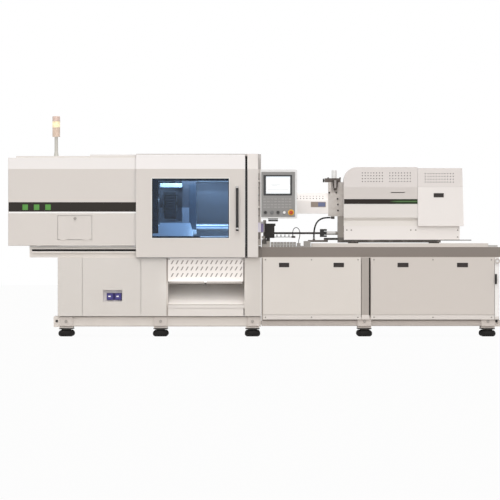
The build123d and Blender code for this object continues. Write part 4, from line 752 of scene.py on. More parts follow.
# %% Barrel cover
RATING_PLATE = ((0.554, 0.704), (1.295, 1.348))
PLATE_FRONT = -0.1172

hood = powder_coat("barrel_cover_paint", (249, 243, 239))
plate = hood.x.between(*RATING_PLATE[0]) * hood.z.between(*RATING_PLATE[1]) * (hood.y < PLATE_FRONT)
hood.over(plate, (150, 136, 124), 0.5)
right_half = plate * hood.x.between(0.628, 0.698) * hood.z.between(1.301, 1.342)
hood.over(right_half, (104, 112, 146), 0.5)
wear(hood.done(), "barrel_cover")
print("rating plate bare")

# %% [markdown]
# The feed block is cast iron with a pale, mottled skin. Its hopper plate is darker machined steel,
# the drain funnel has black sides and a light throat, and the tube on top is pale plastic.

# %% Feed block and hopper shutter
PLATE_LEVELS = (1.545, 1.585)
FUNNEL_X = 0.799

feed = Finish("feed_block_iron", (206, 199, 193), 0.55, 0.05)
feed.over((feed.noise(26, 4) - 0.45) * 1.6, (180, 170, 161), 0.6)
hopper_plate = feed.z.between(PLATE_LEVELS[0] - 0.0005, PLATE_LEVELS[1] + 0.0005)
feed.over(hopper_plate, (98, 89, 84), 0.5, 0.1)
across = abs(feed.x - FUNNEL_X)
funnel = (feed.y < -0.0925) * feed.z.between(1.464, 1.566) * (feed.y > -0.1285) * (across < 0.033)
feed.over(funnel, (66, 58, 53), 0.45)
throat = funnel * (feed.y < -0.1275) * (across < 0.010) * (feed.z > 1.486)
feed.over(throat, (158, 152, 148), 0.4)
tube = feed.z > PLATE_LEVELS[1] + 0.001
feed.over(tube, (246, 245, 243), 0.4)
# Painted shade on the underside of the block.
shaded_underside = feed.z < 1.1995
feed.over(shaded_underside, (70, 64, 60), 0.5)
feed.bump(feed.noise(120, 4))
wear(feed.done(0.45, 0.0008), "feed_block")

shutter = Finish("shutter_steel", (178, 174, 170), 0.3, 0.9)
knob = shutter.x < 0.6915
shutter.over(knob, BLACK, 0.45, 0.0)
shutter.bump(shutter.noise(400, 2))
wear(shutter.done(0.15), "hopper_shutter")
print("feed block mottled")

# %% [markdown]
# The rear unit cover has a black grip cup let into it, and painted shade at its top.
# The cup's own box is the mask, without the thin layer that is the cover's face.

# %% Rear unit cover
UNIT_FACE = -0.397

rear = powder_coat("rear_unit_paint", PALE_PANEL)
cup = rear.x.between(1.7825, 1.8845) * rear.z.between(1.3915, 1.4345)
cup = cup * (rear.y < UNIT_FACE + 0.06)
cup = cup * ((rear.y < UNIT_FACE - 0.0003) + (rear.y > UNIT_FACE + 0.0018))
# Painted shade at the top of the cover.
rear.over(rear.z > 1.495, (217, 210, 206))
rear.over(cup, GRIP, 0.45)
wear(rear.done(), "unit_cover_rear")
print("grip cup black")

# %% [markdown]
# The cabinet doors have recessed black grips, a darker post between them
# and a grey ring on the pale end post. All of them are one node, told apart by place.

# %% Cabinet panels
GRIP_Z = (0.6925, 0.7375)
GRIPS_X = ((0.234, 0.336), (0.779, 0.884), (1.419, 1.529), (2.014, 2.124))

cabinet = powder_coat("cabinet_paint", (218, 211, 204))
mullion = cabinet.x.between(1.0590, 1.1395) * (cabinet.y < MIDDLE_Y)
right_door = cabinet.x > 1.1420
cabinet.over(right_door, (206, 198, 191))
cabinet.over(mullion, (170, 162, 155), 0.5)
plinth = (cabinet.z < 0.2155) * (cabinet.y < MIDDLE_Y)
cabinet.over(plinth, (217, 210, 204))
for low, high in GRIPS_X:
    grip = cabinet.x.between(low - 0.0005, high + 0.0005) * cabinet.z.between(*GRIP_Z)
    deep = (cabinet.y < COVER_FACE - 0.0005) + (cabinet.y > COVER_FACE + 0.0025)
    cabinet.over(grip * deep * (cabinet.y < -0.5), GRIP, 0.45)
eye = (cabinet.x > 2.389) * (cabinet.z > 0.726) * (cabinet.y < COVER_FACE - 0.0005)
end_post = (cabinet.x > 2.3885) * (cabinet.z > 0.2)
cabinet.over(end_post, (240, 237, 234), 0.4)
cabinet.over(eye, (198, 190, 184), 0.4)
wear(cabinet.done(), "cabinet_panels")
print("cabinet panels")

# %% [markdown]
# Two blue socket outlets sit in a painted niche. Their bodies start in front of the niche's back,
# so a band of depth parts the blue plastic from the paint, and the node stays in one piece.

# %% Sockets
SOCKETS = ((-1.455, 0.3995), (-1.374, 0.3995))

outlets = powder_coat("socket_panel_paint", BASE_PANEL)
blue = outlets.x.between(-1.4895, -1.3395) * outlets.z.between(0.364, 0.435)
blue = blue * outlets.y.between(-0.5450, -0.5085)
# Painted light: the niche is painted lighter than the panel, against the shade of the recess.
niche = outlets.y > COVER_FACE + 0.004
outlets.over(niche, (228, 223, 222))
outlets.over(blue, (55, 45, 110), 0.5)
wear(outlets.done(), "power_sockets")
print("socket outlets", len(SOCKETS))

# %% [markdown]
# The signal tower is a stack of clear ribbed lenses on a pole. One of them is lit: a warm glow
# by height, strongest in its middle, with the others tinted rose and amber by the plastic alone.

# %% Signal tower
LIT = (2.090, 2.155)
RIB_PITCH = 0.0065

wear(grained("tower_pole", (203, 200, 192), 0.35, 0.5, clouds=(0.05, 20, 3), grain=(300, 2)),
     "signal_post")

lens = Finish("tower_lens", (232, 206, 186), 0.25, 0.0, {"Coat Weight": 0.5, "Coat Roughness": 0.1})
lit = lens.z.between(*LIT)
middle = 1.0 - abs(lens.z - (LIT[0] + LIT[1]) / 2) / 0.05
lens.over(lit, (252, 236, 196), 0.3)
lens.over(lens.z > LIT[1], (232, 204, 190))
lens.glow(lit * middle, (1.0, 0.74, 0.36, 1.0), 0.42)
ribs = (lens.z % RIB_PITCH) / RIB_PITCH
lens.bump(abs(ribs - 0.5) * 2.0)
wear(lens.done(0.5, 0.002), "signal_lamps")
print("lit from", LIT[0], "to", LIT[1])

# %% [markdown]
# Handles are black anodised bars between chromed end sleeves. Bar and sleeves are one node,
# so a mask by height gives the sleeves their chrome, with a sharp edge where they end.

# %% Door handles
bar = Finish("handle_finish", (24, 22, 21), 0.6)
sleeves = (bar.z > 1.4860) + bar.z.between(1.0720, 1.0880)
bar.over(sleeves, (206, 204, 201), 0.18, 1.0)
bar.bump(bar.noise(500, 2))
wear(bar.done(0.12), "front_handle", "rear_handle")
print("handles")

# %% [markdown]
# The operator panel has a near-white housing, a grey front plate and a yellow collar
# round the emergency stop. The front plate stands 3 mm proud of the housing.

# %% Operator panel
PLATE_FACE = -0.720
ESTOP = (0.354, 1.240)
COLLAR_RADIUS = 0.0302

panel = powder_coat("operator_panel_paint", (227, 226, 225), 0.38, dust=0.0)
front_plate = panel.x.between(0.0565, 0.3945) * panel.z.between(1.1845, 1.6455)
front_plate = front_plate * (panel.y < PLATE_FACE + 0.0029)
panel.over(front_plate, (141, 139, 137), 0.5)
across = panel.x - ESTOP[0]
up = panel.z - ESTOP[1]
in_circle = (across * across + up * up) < COLLAR_RADIUS ** 2
panel.over(in_circle * (panel.y < PLATE_FACE - 0.0004), (236, 184, 44), 0.4)
gland = panel.x.between(0.1200, 0.2260) * (panel.z < 1.1790) * panel.y.between(-0.7035, -0.6705)
panel.over(gland, BLACK, 0.6)
wear(panel.done(), "hmi_case")
print("operator panel")

# %% [markdown]
# The display is a black bezel round a bright page, with a pale header, faint lines and empty fields.
# All of them are masks on one flat face, and the page glows a little, as a backlit screen does.

# %% Display
PAGE = ((0.104, 0.345), (1.428, 1.600))
PAGE_LINES = ((1.520, (0.155, 0.245)), (1.508, (0.165, 0.215)), (1.470, (0.120, 0.330)))
FIELD_PITCH = 0.042

screen = Finish("display", (40, 40, 42), 0.2, 0.0, {"Coat Weight": 0.4, "Coat Roughness": 0.05})
page = screen.x.between(*PAGE[0]) * screen.z.between(*PAGE[1]) * (screen.y < -0.7225)
screen.over(page, (246, 248, 249), 0.25)
header = screen.z.between(1.590, 1.602)
screen.over(page * header, (214, 226, 236))
for level, span in PAGE_LINES:
    line = page * screen.z.between(level, level + 0.004) * screen.x.between(*span)
    screen.over(line, (206, 210, 212))
field_row = page * screen.z.between(1.425, 1.440)
fields = field_row * (((screen.x - PAGE[0][0]) % FIELD_PITCH) > 0.004)
screen.over(fields, (226, 232, 236))
screen.over(screen.noise(30, 2) * 0.04, (120, 120, 124))
screen.glow(page, (1.0, 1.0, 1.0, 1.0), 0.12)
wear(screen.done(), "hmi_screen")
print("page", [round(high - low, 3) for low, high in PAGE])

# %% [markdown]
# The push buttons are glossy moulded plastic: black, white, a grey selector
# and the red mushroom head of the emergency stop. They differ only in tone and sheen,
# so one function moulds them all, and it serves the plastic pieces further on.

# %% Buttons
def moulded(name, colour, roughness=0.35):
    """Glossy moulded plastic with a faint grain."""
    return grained(name, colour, roughness, clouds=(0.03, 40), grain=(500, 2), strength=0.08,
                   constants={"Coat Weight": 0.3, "Coat Roughness": 0.15})


wear(moulded("button_black", (52, 50, 49)), "left_button", "start_button")
wear(moulded("button_white", (236, 234, 232)), "stop_button")
wear(moulded("button_red", (182, 66, 26), 0.5), "estop_button")
wear(moulded("selector_grey", (120, 120, 120)), "selector_knob")
print("five controls")

# %% [markdown]
# From here on new pieces are modelled. Each starts as a bmesh, gets its form from operators,
# and ends as an object at the origin that rides on one of the machine's bodies.
# slab makes a box with softened edges, turned spins a profile round an axis as a lathe does.

# %% Tools for modelling
AXES = {"x": (Vector((1, 0, 0)), Vector((0, 1, 0))), "y": (Vector((0, 1, 0)), Vector((1, 0, 0))),
        "z": (Vector((0, 0, 1)), Vector((1, 0, 0)))}


def slab(shape, x, y, z, soft=0.001, segments=2):
    """A block between three pairs of limits, with its edges rounded."""
    middle = Vector([(low + high) / 2 for low, high in (x, y, z)])
    size = [abs(high - low) for low, high in (x, y, z)]
    matrix = Matrix.Translation(middle) @ Matrix.Diagonal((*size, 1))
    made = bmesh.ops.create_cube(shape, size=1.0, matrix=matrix)
    edges = {edge for vert in made["verts"] for edge in vert.link_edges}
    soft = min(soft, min(size) * 0.45)
    bmesh.ops.bevel(shape, geom=list(edges), offset=soft, segments=segments, profile=0.5,
                    affect="EDGES", material=-1)


def turned(shape, profile, centre, axis="z", steps=24, out=1):
    """A lathe: spins (radius, height) points round an axis; out -1 turns the heights round."""
    along, side = AXES[axis]
    centre = Vector(centre)
    before = set(shape.verts)
    points = [shape.verts.new(centre + side * radius + along * (out * height))
              for radius, height in profile]
    edges = [shape.edges.new(pair) for pair in zip(points, points[1:])]
    bmesh.ops.spin(shape, geom=points + edges, cent=centre, axis=along, angle=math.tau,
                   steps=steps, use_merge=True)
    fresh = [vert for vert in shape.verts if vert not in before]
    bmesh.ops.remove_doubles(shape, verts=fresh, dist=1e-6)


def settle(shape, name, body, material, smooth=False):
    """Turns the faces outwards and makes the finished object, riding on a body."""
    bmesh.ops.recalc_face_normals(shape, faces=shape.faces)
    for face in shape.faces:
        face.smooth = smooth
    mesh = bpy.data.meshes.new(name)
    shape.to_mesh(mesh)
    shape.free()
    mesh.materials.append(material)
    piece = new_object(name, mesh)
    if smooth:
        mesh.set_sharp_from_angle(angle=math.radians(35))
    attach(piece, body)
    print(name, len(mesh.polygons), "faces")
    return piece


print("tools ready for", len(AXES), "axes")

# %% [markdown]
# Most pieces are only slabs, or one lathe profile at several places, so a function makes each kind
# in one call. Many come in pairs, in front and behind, and both_sides gives the two faces.

# %% Whole pieces in one call
def blocks(name, body, material, boxes):
    """A piece of slabs, each given as slab takes it."""
    shape = bmesh.new()
    for box in boxes:
        slab(shape, *box)
    return settle(shape, name, body, material)


def lathed(name, body, material, line, places, axis="y", steps=24, out=1):
    """A smooth piece of one lathe profile at several places."""
    shape = bmesh.new()
    for place in places:
        turned(shape, line, place, axis, steps, out)
    return settle(shape, name, body, material, smooth=True)


def both_sides(face):
    """A face in front and its twin behind, each with the sign that points outwards."""
    return (face, -1), (2 * MIDDLE_Y - face, 1)


print("the covers' faces", both_sides(COVER_FACE))

# %% [markdown]
# Ten feet carry the machine. Each is a moulded rubber pad with a bulging rim, a black steel
# plate over it, a lock nut and a threaded stud. All are round, so each part is one lathe profile,
# but for the nut, which is spun in six steps to give it its flats.

# %% Levelling feet
FEET_X = (-1.896, -0.951, -0.031, 1.089, 2.324)
FEET = [(x, y, 0.0) for x in FEET_X for y in (MIDDLE_Y - 0.5, MIDDLE_Y + 0.5)]
PAD_LINE = [(0.0, 0.0), (0.054, 0.0), (0.0640, 0.004), (0.0725, 0.012), (0.0770, 0.022),
            (0.0775, 0.032), (0.0750, 0.044), (0.0680, 0.055), (0.0580, 0.062), (0.0, 0.064)]
PLATE_LINE = [(0.0, 0.063), (0.040, 0.063), (0.046, 0.070), (0.0700, 0.072), (0.0720, 0.075),
              (0.0720, 0.080), (0.0690, 0.083), (0.030, 0.084), (0.0, 0.084)]
NUT_LINE = [(0.0, 0.0845), (0.0175, 0.0845), (0.0195, 0.0865), (0.0195, 0.0975), (0.0175, 0.0995),
            (0.0, 0.0995)]
STUD_LINE = [(0.0, 0.083)]
for step in range(14):
    STUD_LINE += [(0.0105, 0.084 + step * 0.004), (0.0118, 0.086 + step * 0.004)]
STUD_LINE += [(0.0105, 0.142), (0.0, 0.142)]

foot_rubber = lathed("foot_pads", "machine", black_rubber, PAD_LINE, FEET, "z", 48)
plate_black = moulded("foot_plate_black", (58, 55, 52), 0.45)
lathed("foot_plates", "machine", plate_black, PLATE_LINE, FEET, "z", 48)
studs = bmesh.new()
for place in FEET:
    turned(studs, STUD_LINE, place, "z", 16)
    turned(studs, NUT_LINE, place, "z", 6)
settle(studs, "foot_studs", "machine", turned_steel, smooth=True)
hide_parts("levelling_feet")

# %% [markdown]
# Over each foot the frame has a foot pad with a hexagon bolt. The lugs at both ends of the frame
# are for lifting, and black discs fill their holes, as painted shade in the holes.

# %% Foot pads and lug hole shades
FRAME_FACE = -0.539
FOOT_PADS = ((-1.896, 0.067), (-0.951, 0.067), (-0.020, 0.062), (1.089, 0.070), (2.324, 0.067))
BOLT_Z = 0.152
BOLT_LINE = [(0.0, 0.020), (0.010, 0.020), (0.012, 0.018), (0.012, 0.009), (0.0, 0.009)]
WASHER_LINE = [(0.0, 0.009), (0.015, 0.009), (0.015, 0.005), (0.0, 0.005)]
HOLE_SHADE_LINE = [(0.0, 0.003), (0.011, 0.003), (0.013, 0.001), (0.013, -0.004), (0.0, -0.004)]

pad_paint = powder_coat("foot_pad_paint", (206, 197, 190), 0.5).done()
blocks("foot_pad_faces", "machine", pad_paint,
       [((x - half, x + half), (face - out * 0.001, face + out * 0.006), (0.104, 0.196), 0.002)
        for x, half in FOOT_PADS for face, out in both_sides(FRAME_FACE)])

bolts = bmesh.new()
for x in FEET_X:
    for face, out in both_sides(FRAME_FACE):
        turned(bolts, BOLT_LINE, (x, face, BOLT_Z), "y", 6, out)
        turned(bolts, WASHER_LINE, (x, face, BOLT_Z), "y", 24, out)
settle(bolts, "foot_pad_bolts", "machine", dull_steel)

# Black discs fill the lug holes as painted shade.
lug_hole_shades = bmesh.new()
for x in (-1.988, 2.409):
    for face, out in both_sides(FRAME_FACE):
        turned(lug_hole_shades, HOLE_SHADE_LINE, (x, face, 0.155), "y", 24, out)
settle(lug_hole_shades, "lug_hole_shades", "machine", black_plastic, smooth=True)

# %% [markdown]
# A black band runs along each clamp cover, with a white line under it and three green squares on
# it. On the real machine it is vinyl film, so each is a thin slab on the sheet, on both sides.

# %% Bands of the clamp covers
COVER_SPAN = (-2.470, -1.196)
BAND_Z = (1.249, 1.343)
LINE_Z = (1.232, 1.247)
SQUARES_X = (-2.331, -2.217, -2.103)
SQUARE = 0.054
SQUARE_LOW = 1.266
FILM = 0.0008
FILM_EDGE = (0.0002, 1)

black_film = grained("black_film", (42, 37, 33), 0.6, clouds=(0.05, 6), strength=0.05,
                     constants={"Specular IOR Level": 0.3})
white_film = grained("white_film", (248, 246, 244), 0.4, clouds=(0.02, 6), strength=0.05)
green_film = grained("green_film", (86, 148, 66), 0.5, clouds=(0.05, 12), strength=0.05)

for side, (face, out) in zip(("front", "rear"), both_sides(COVER_FACE)):
    skin = (face, face + out * FILM)
    blocks("cover_band_" + side, "machine", black_film,
           [(COVER_SPAN, skin, BAND_Z, *FILM_EDGE)])
    blocks("cover_line_" + side, "machine", white_film,
           [(COVER_SPAN, skin, LINE_Z, *FILM_EDGE)])
    over_skin = (face + out * FILM, face + 2 * out * FILM)
    blocks("cover_squares_" + side, "machine", green_film,
           [((low, low + SQUARE), over_skin, (SQUARE_LOW, SQUARE_LOW + SQUARE), *FILM_EDGE)
            for low in SQUARES_X])

# %% [markdown]
# The injection unit's band is black at the front end and green at the rear, with a light green
# line through the green. One slab takes its colours from where it lies along X and Z.

# %% Bands of the injection unit
UNIT_SPAN = (0.886, 1.621)
UNIT_BAND_Z = (1.326, 1.375)
GREEN_FROM, GREEN_FULL = 1.34, 1.42

streak = Finish("unit_band_film", (36, 29, 24), 0.6, constants={"Specular IOR Level": 0.3})
green_share = streak.node("ShaderNodeMapRange", {},
                          {0: streak.x, 1: GREEN_FROM, 2: GREEN_FULL, 3: 0.0, 4: 1.0})
streak.over(green_share * (streak.z < 1.372), (38, 54, 30))
streak.over(green_share * streak.z.between(1.3480, 1.3550), (92, 126, 78))
streak.bump(streak.noise(400, 2))
unit_band_film = streak.done(0.05)
for side, (face, out) in zip(("front", "rear"), both_sides(UNIT_FACE)):
    blocks("unit_band_" + side, "carriage", unit_band_film,
           [(UNIT_SPAN, (face, face + out * FILM), UNIT_BAND_Z, *FILM_EDGE)])

# %% [markdown]
# Button-head screws hold the cabinet doors, their plinths, the skirt and the vent panel.
# A lathe profile with a round recess makes the head; sixteen steps are enough at that size.
# The profile is given in radii, so that it serves screws of any size.

# %% Screw heads
HEAD_LINE = ((0.0, 0.18), (0.4, 0.18), (0.45, 0.5), (0.75, 0.42), (1.0, 0.12))
SUNK = 0.001


def screw_heads(name, places, radius, out, body):
    """Low domed heads on a face that looks along out on the Y axis."""
    line = [(radius * across, radius * tall) for across, tall in HEAD_LINE]
    line += [(radius, -SUNK), (0.0, -SUNK)]
    lathed(name, body, dull_steel, line, places, "y", 16, out)


REAR_FACE = 2 * MIDDLE_Y - COVER_FACE
screw_heads("cabinet_screws", [(x, COVER_FACE, z) for x in (0.099, 0.559, 1.024, 1.184, 1.774, 2.359)
                               for z in (0.768, 0.192)], 0.008, -1, "machine")
screw_heads("rear_cabinet_screws", [(x, REAR_FACE, z) for x in (0.12, 0.85, 1.60, 2.38)
                                    for z in (0.750, 0.210)], 0.008, 1, "machine")
screw_heads("skirt_screws", [(x, -0.362, z) for x, z in (
    (0.914, 1.065), (0.959, 1.065), (1.554, 1.065), (1.604, 1.065), (2.024, 1.065), (2.024, 0.995))],
    0.008, -1, "carriage")
screw_heads("vent_panel_screws", [(x, -0.570, z) for x in (-0.864, -0.135)
                                  for z in (0.773, 0.530)], 0.007, -1, "machine")

# %% [markdown]
# The feed block and its hopper plate are held by socket head cap screws: a cylinder with a chamfer
# and a deep socket. They are darker than the castings, as blackened steel is.

# %% Cap screws
FEED_FACE = -0.117
FEED_BOLTS = ((0.739, 1.440), (0.809, 1.442), (0.822, 1.378), (0.826, 1.322), (0.826, 1.262))

blackened = grained("blackened_steel", (72, 68, 64), 0.42, 0.6, clouds=(0.1, 60, 3), grain=(500, 2))


def cap_screws(name, places, radius, out, axis):
    """Socket head cap screws that stand on a face of the carriage, along an axis."""
    tall = radius * 1.1
    line = [(0.0, tall * 0.4), (radius * 0.5, tall * 0.4), (radius * 0.5, tall),
            (radius * 0.88, tall), (radius, tall * 0.86), (radius, -SUNK), (0.0, -SUNK)]
    lathed(name, "carriage", blackened, line, places, axis, 20, out)


cap_screws("feed_block_bolts", [(x, FEED_FACE, z) for x, z in FEED_BOLTS], 0.009, -1, "y")
cap_screws("hopper_plate_bolts", [(0.789 + x, MIDDLE_Y + y, PLATE_LEVELS[1])
                                  for x in (-0.06, 0.06) for y in (-0.06, 0.06)], 0.008, 1, "z")

# %% [markdown]
# A soft black seal lies between the window and its frame. It is one closed ring:
# a face is inset, its middle is taken out, and the rest is given a thickness.

# %% Window seal
def flat_face(shape, middle, *turn_and_size):
    """One square face, placed by a chain of matrices round its middle."""
    matrix = Matrix.Translation(middle)
    for step in turn_and_size:
        matrix = matrix @ step
    made = bmesh.ops.create_grid(shape, x_segments=1, y_segments=1, size=0.5, matrix=matrix)
    return made["verts"][0].link_faces[0]


def ring_plate(shape, x, z, y, width, thick):
    """A flat rectangular ring on a plane of Y, made by inset and solidify."""
    face = flat_face(shape, ((x[0] + x[1]) / 2, y, (z[0] + z[1]) / 2),
                     Matrix.Rotation(math.radians(90), 4, "X"),
                     Matrix.Diagonal((x[1] - x[0], z[1] - z[0], 1, 1)))
    bmesh.ops.inset_region(shape, faces=[face], thickness=width, use_boundary=True,
                           use_even_offset=True)
    bmesh.ops.delete(shape, geom=[face], context="FACES_ONLY")
    bmesh.ops.solidify(shape, geom=list(shape.faces), thickness=thick)


seal = bmesh.new()
ring_plate(seal, (WINDOW[0][0] - 0.001, WINDOW[0][1] + 0.001),
           (WINDOW[1][0] - 0.001, WINDOW[1][1] + 0.001), -0.5960, 0.007, 0.002)
settle(seal, "window_seal", "front_door", black_rubber)

# %% [markdown]
# Inside the door, black strips line the window: a wide one on the left, a narrow one above
# and a thin one below. They are painted shadow of the mould space, seen through the tinted sheet.

# %% Window shadow strips
SHADOW_STRIPS_Y = (-0.5885, -0.5845)
blocks("window_shadow_strips", "front_door", black_plastic,
       [((-1.040, -0.973), SHADOW_STRIPS_Y, (1.030, 1.580)), ((-0.974, -0.262), SHADOW_STRIPS_Y, (1.556, 1.580)),
        ((-1.040, -0.556), SHADOW_STRIPS_Y, (0.984, 1.004))])

# %% [markdown]
# Rubber closes the gaps between moving and fixed sheet: a lip carries the door's bumper
# up along the leaning band, and a brush strip lies in the slot of the lower door rail.

# %% Lips and brush strips
lips = bmesh.new()
for side in (-1, 1):
    face = flat_face(lips, (-0.093, MIDDLE_Y + side * 0.617, 1.655),
                     Matrix.Diagonal((0.022, 0.016, 1, 1)))
    grown = bmesh.ops.extrude_face_region(lips, geom=[face])
    top = [item for item in grown["geom"] if isinstance(item, bmesh.types.BMVert)]
    bmesh.ops.translate(lips, verts=top, vec=(0.0, -side * 0.086, 0.150))
settle(lips, "bumper_lips", "machine", black_rubber)

blocks("rail_brushes", "machine", black_rubber,
       [((-2.236, -0.112), (face - out * 0.004, face + out * 0.002), (0.856, 0.874), 0.001, 1)
        for face, out in both_sides(-0.557)])

# %% [markdown]
# Behind the slots of the vent panel lies a filter sheet, so that chips of plastic stay inside.
# It is one thin slab, and it keeps the slots from reading as black holes.

# %% Filter sheet
filter_grey = grained("filter_grey", (160, 152, 146), 0.8, grain=(300, 3), strength=0.4)
blocks("filter_sheet", "machine", filter_grey,
       [((-0.860, -0.139), (-0.5664, -0.5650), (0.530, 0.772), 0.0005, 1)])

# %% [markdown]
# Along the front and the rear of the injection bed a folded sheet guards the linear rails.
# It is pale, stands just outside the carriage and ends short of it in height.

# %% Rail guards
GUARD_SPAN = (0.560, 2.330)
guard_paint = powder_coat("rail_guard_paint", (206, 199, 193)).done()
folds = []
for out in (-1, 1):
    face = MIDDLE_Y + out * 0.410
    folds += [(GUARD_SPAN, (face, face - out * 0.0015), (0.895, 0.933), 0.0004, 1),
              (GUARD_SPAN, (face, face - out * 0.012), (0.8945, 0.8965), 0.0004, 1)]
blocks("rail_guards", "machine", guard_paint, folds)

# %% [markdown]
# Dark strips run down the moving platen's front edge on each side, as painted shade on the edge.
# A black box with rounded edges and ribs beside its window is a dark block put where the platen's
# cavity lies in shade. A white strip over it is a painted highlight.

# %% Painted shade strips, shade block and highlight strip
# Painted shade on the front edge of the platen.
strips = []
for side in (-1, 1):
    face = MIDDLE_Y + side * 0.360
    strips.append(((-0.664, -0.594), (face, face + side * 0.006), (1.070, 1.525), 0.0015))
blocks("platen_shade_strips", "moving_platen", moulded("shade_strip_grey", (70, 78, 86), 0.5),
       strips)
# Painted highlight: a white strip along the top of the platen's side.
blocks("platen_highlight_strip", "moving_platen", moulded("highlight_white", (248, 249, 250), 0.4),
       [((-0.958, -0.736), (-0.388, -0.327), (1.491, 1.532), 0.004)])
# Painted shade: a dark block where the platen's cavity lies in shade.
cover = [((-0.915, -0.796), (-0.372, -0.327), (1.178, 1.450), 0.008, 3)]
for rib in range(9):
    low = 1.198 + rib * 0.027
    cover.append(((-0.905, -0.806), (-0.376, -0.370), (low, low + 0.010), 0.002))
blocks("cavity_shade_block", "moving_platen", motor_black, cover)

# %% [markdown]
# The panel's cables leave through a black strain relief under its gland. It is one block with
# well rounded ends.

# %% Panel strain relief
blocks("panel_strain_relief", "hmi", black_plastic,
       [((0.126, 0.224), (-0.7005, -0.6735), (1.151, 1.1665), 0.006, 3)])

# %% [markdown]
# A moulded grip thickens the middle of each door handle, between its two ends. It is a lathe shape
# with a rounded rim at both ends.

# %% Handle grips
GRIP_LINE = [(0.0092, 0.0), (0.0125, 0.001), (0.0138, 0.005), (0.0138, 0.381), (0.0125, 0.385),
             (0.0092, 0.386), (0.0092, 0.0)]
grip_black = moulded("grip_black", (26, 24, 23), 0.6)
for side, y in (("front", -0.667), ("rear", 2 * MIDDLE_Y + 0.667)):
    lathed(side + "_handle_grip", side + "_door", grip_black, GRIP_LINE,
           [(-0.184, y, 1.094)], "z", 28)

# %% [markdown]
# Dark sheets lie behind the ventilation holes of the injection unit's covers and of the barrel
# cover, as painted shade: they make the rows of holes read as dark dots. Three thin slabs
# do that for all the holes at once.

# %% Vent shade sheets
shade_sheet_grey = grained("vent_shade_grey", (64, 60, 57), 0.9, grain=(300, 3), strength=0.4,
               constants={"Specular IOR Level": 0.1})
blocks("vent_shade_sheets", "carriage", shade_sheet_grey,
       [((1.050, 1.610), (-0.357, -0.355), (1.535, 1.655), 0.0005, 1),
        ((1.650, 1.990), (-0.357, -0.355), (1.535, 1.655), 0.0005, 1),
        ((0.440, 0.760), (-0.050, -0.048), (1.362, 1.405), 0.0005, 1)])

# %% [markdown]
# The hole in the end post of the cabinet is closed by a pale plug. It is round, so it is
# one lathe profile, with a small chamfer on the rim that faces the operator.

# %% End plug
PLUG_LINE = [(0.0, -0.012), (0.0125, -0.012), (0.0135, -0.010), (0.0135, 0.0), (0.0, 0.0)]
lathed("eye_plug", "machine", moulded("plug_pale", (232, 230, 228)), PLUG_LINE,
       [(2.418, COVER_FACE, 0.755)], "y", 32)

# %% [markdown]
# A black rubber strip seals the right cabinet door against the post, and a grey gasket fills
# the joint between the two beds. Both are straight and thin, so slabs are enough for them.

# %% Door seal and bed joint
blocks("door_seal", "machine", black_rubber,
       [((1.1330, 1.1438), (-0.5664, -0.5640), (0.210, 0.789), 0.0008),
        ((1.1330, 1.1438), (0.6330, 0.6342), (0.210, 0.789), 0.0005, 1)])
blocks("bed_joint", "machine", moulded("joint_grey", (120, 112, 105), 0.6),
       [((0.0535, 0.0595), (-0.5268, -0.5100), (0.791, 0.894), 0.0005, 1),
        ((0.0535, 0.0595), (0.5760, 0.5928), (0.791, 0.894), 0.0005, 1)])

# %% [markdown]
# The post's right edge carries a grey profile with black hinge blocks, on which the cables
# of the operator panel are clipped, and a small switch for the nozzle guard under it.
# The heights of the blocks stand in one list, so that one number moves a block.

# %% Profile on the post
POST_FACE = -0.577
HINGE_BLOCKS = ((1.540, 1.582), (1.402, 1.424), (1.352, 1.367), (1.262, 1.298), (1.480, 1.492),
                (1.200, 1.214))

blocks("post_profile", "machine", moulded("profile_grey", (150, 141, 135), 0.5),
       [((0.0240, 0.0375), (POST_FACE - 0.0020, POST_FACE + 0.0005), (1.140, 1.632), 0.0008)])
hinges = [((0.0250, 0.0370), (POST_FACE - 0.0065, POST_FACE - 0.0015), level, 0.0015)
          for level in HINGE_BLOCKS]
guard_switch = ((0.0250, 0.0400), (POST_FACE - 0.0080, POST_FACE + 0.0005), (0.976, 1.040), 0.0020)
blocks("post_blocks", "machine", black_plastic, hinges + [guard_switch])

# %% [markdown]
# The carriage motor stands against a folded steel console, which is screwed down on the bed.
# Folded sheet is flat between its bends, so three thin slabs make it: a wide plate,
# a narrow upright over it, and a foot turned back on the bed.

# %% Motor console
console_paint = powder_coat("console_paint", (172, 164, 158), 0.5).done()
blocks("motor_console", "machine", console_paint,
       [((0.0610, 0.1200), (-0.2610, -0.2550), (0.8950, 0.9720)),
        ((0.0760, 0.1060), (-0.2610, -0.2550), (0.9700, 1.1650)),
        ((0.0610, 0.1200), (-0.2560, -0.2250), (0.8950, 0.8990))])

# %% [markdown]
# Under the display, the front plate has rows of flat keys. Each key is a soft-edged slab
# that stands a millimetre proud, a little lighter than the plate. Grey rings go round the buttons.

# %% Keys of the operator panel
KEY = (0.026, 0.012)
KEY_ROWS = (1.368, 1.342, 1.312, 1.286)
KEY_LEFT, KEY_PITCH, KEY_COLUMNS = 0.078, 0.036, 8
KEY_Y = (PLATE_FACE - 0.0012, PLATE_FACE + 0.0005)
RING_LINE = [(0.0150, 0.0005), (0.0150, -0.0022), (0.0165, -0.0030), (0.0195, -0.0024),
             (0.0205, 0.0005), (0.0150, 0.0005)]

key_finish = Finish("key_grey", (158, 155, 153), 0.45)
key_finish.over(key_finish.noise(30, 1) > 0.58, (146, 144, 142))
key_finish.bump(key_finish.noise(500, 2))
keys = []
for level in KEY_ROWS:
    for column in range(KEY_COLUMNS):
        low = KEY_LEFT + column * KEY_PITCH
        keys.append(((low, low + KEY[0]), KEY_Y, (level, level + KEY[1]), 0.0005, 1))
blocks("panel_keys", "hmi", key_finish.done(0.1), keys)
lathed("button_rings", "hmi", moulded("ring_grey", (118, 116, 114), 0.5), RING_LINE,
       [(x, PLATE_FACE, ESTOP[1]) for x in (0.097, 0.162, 0.224, 0.287)])

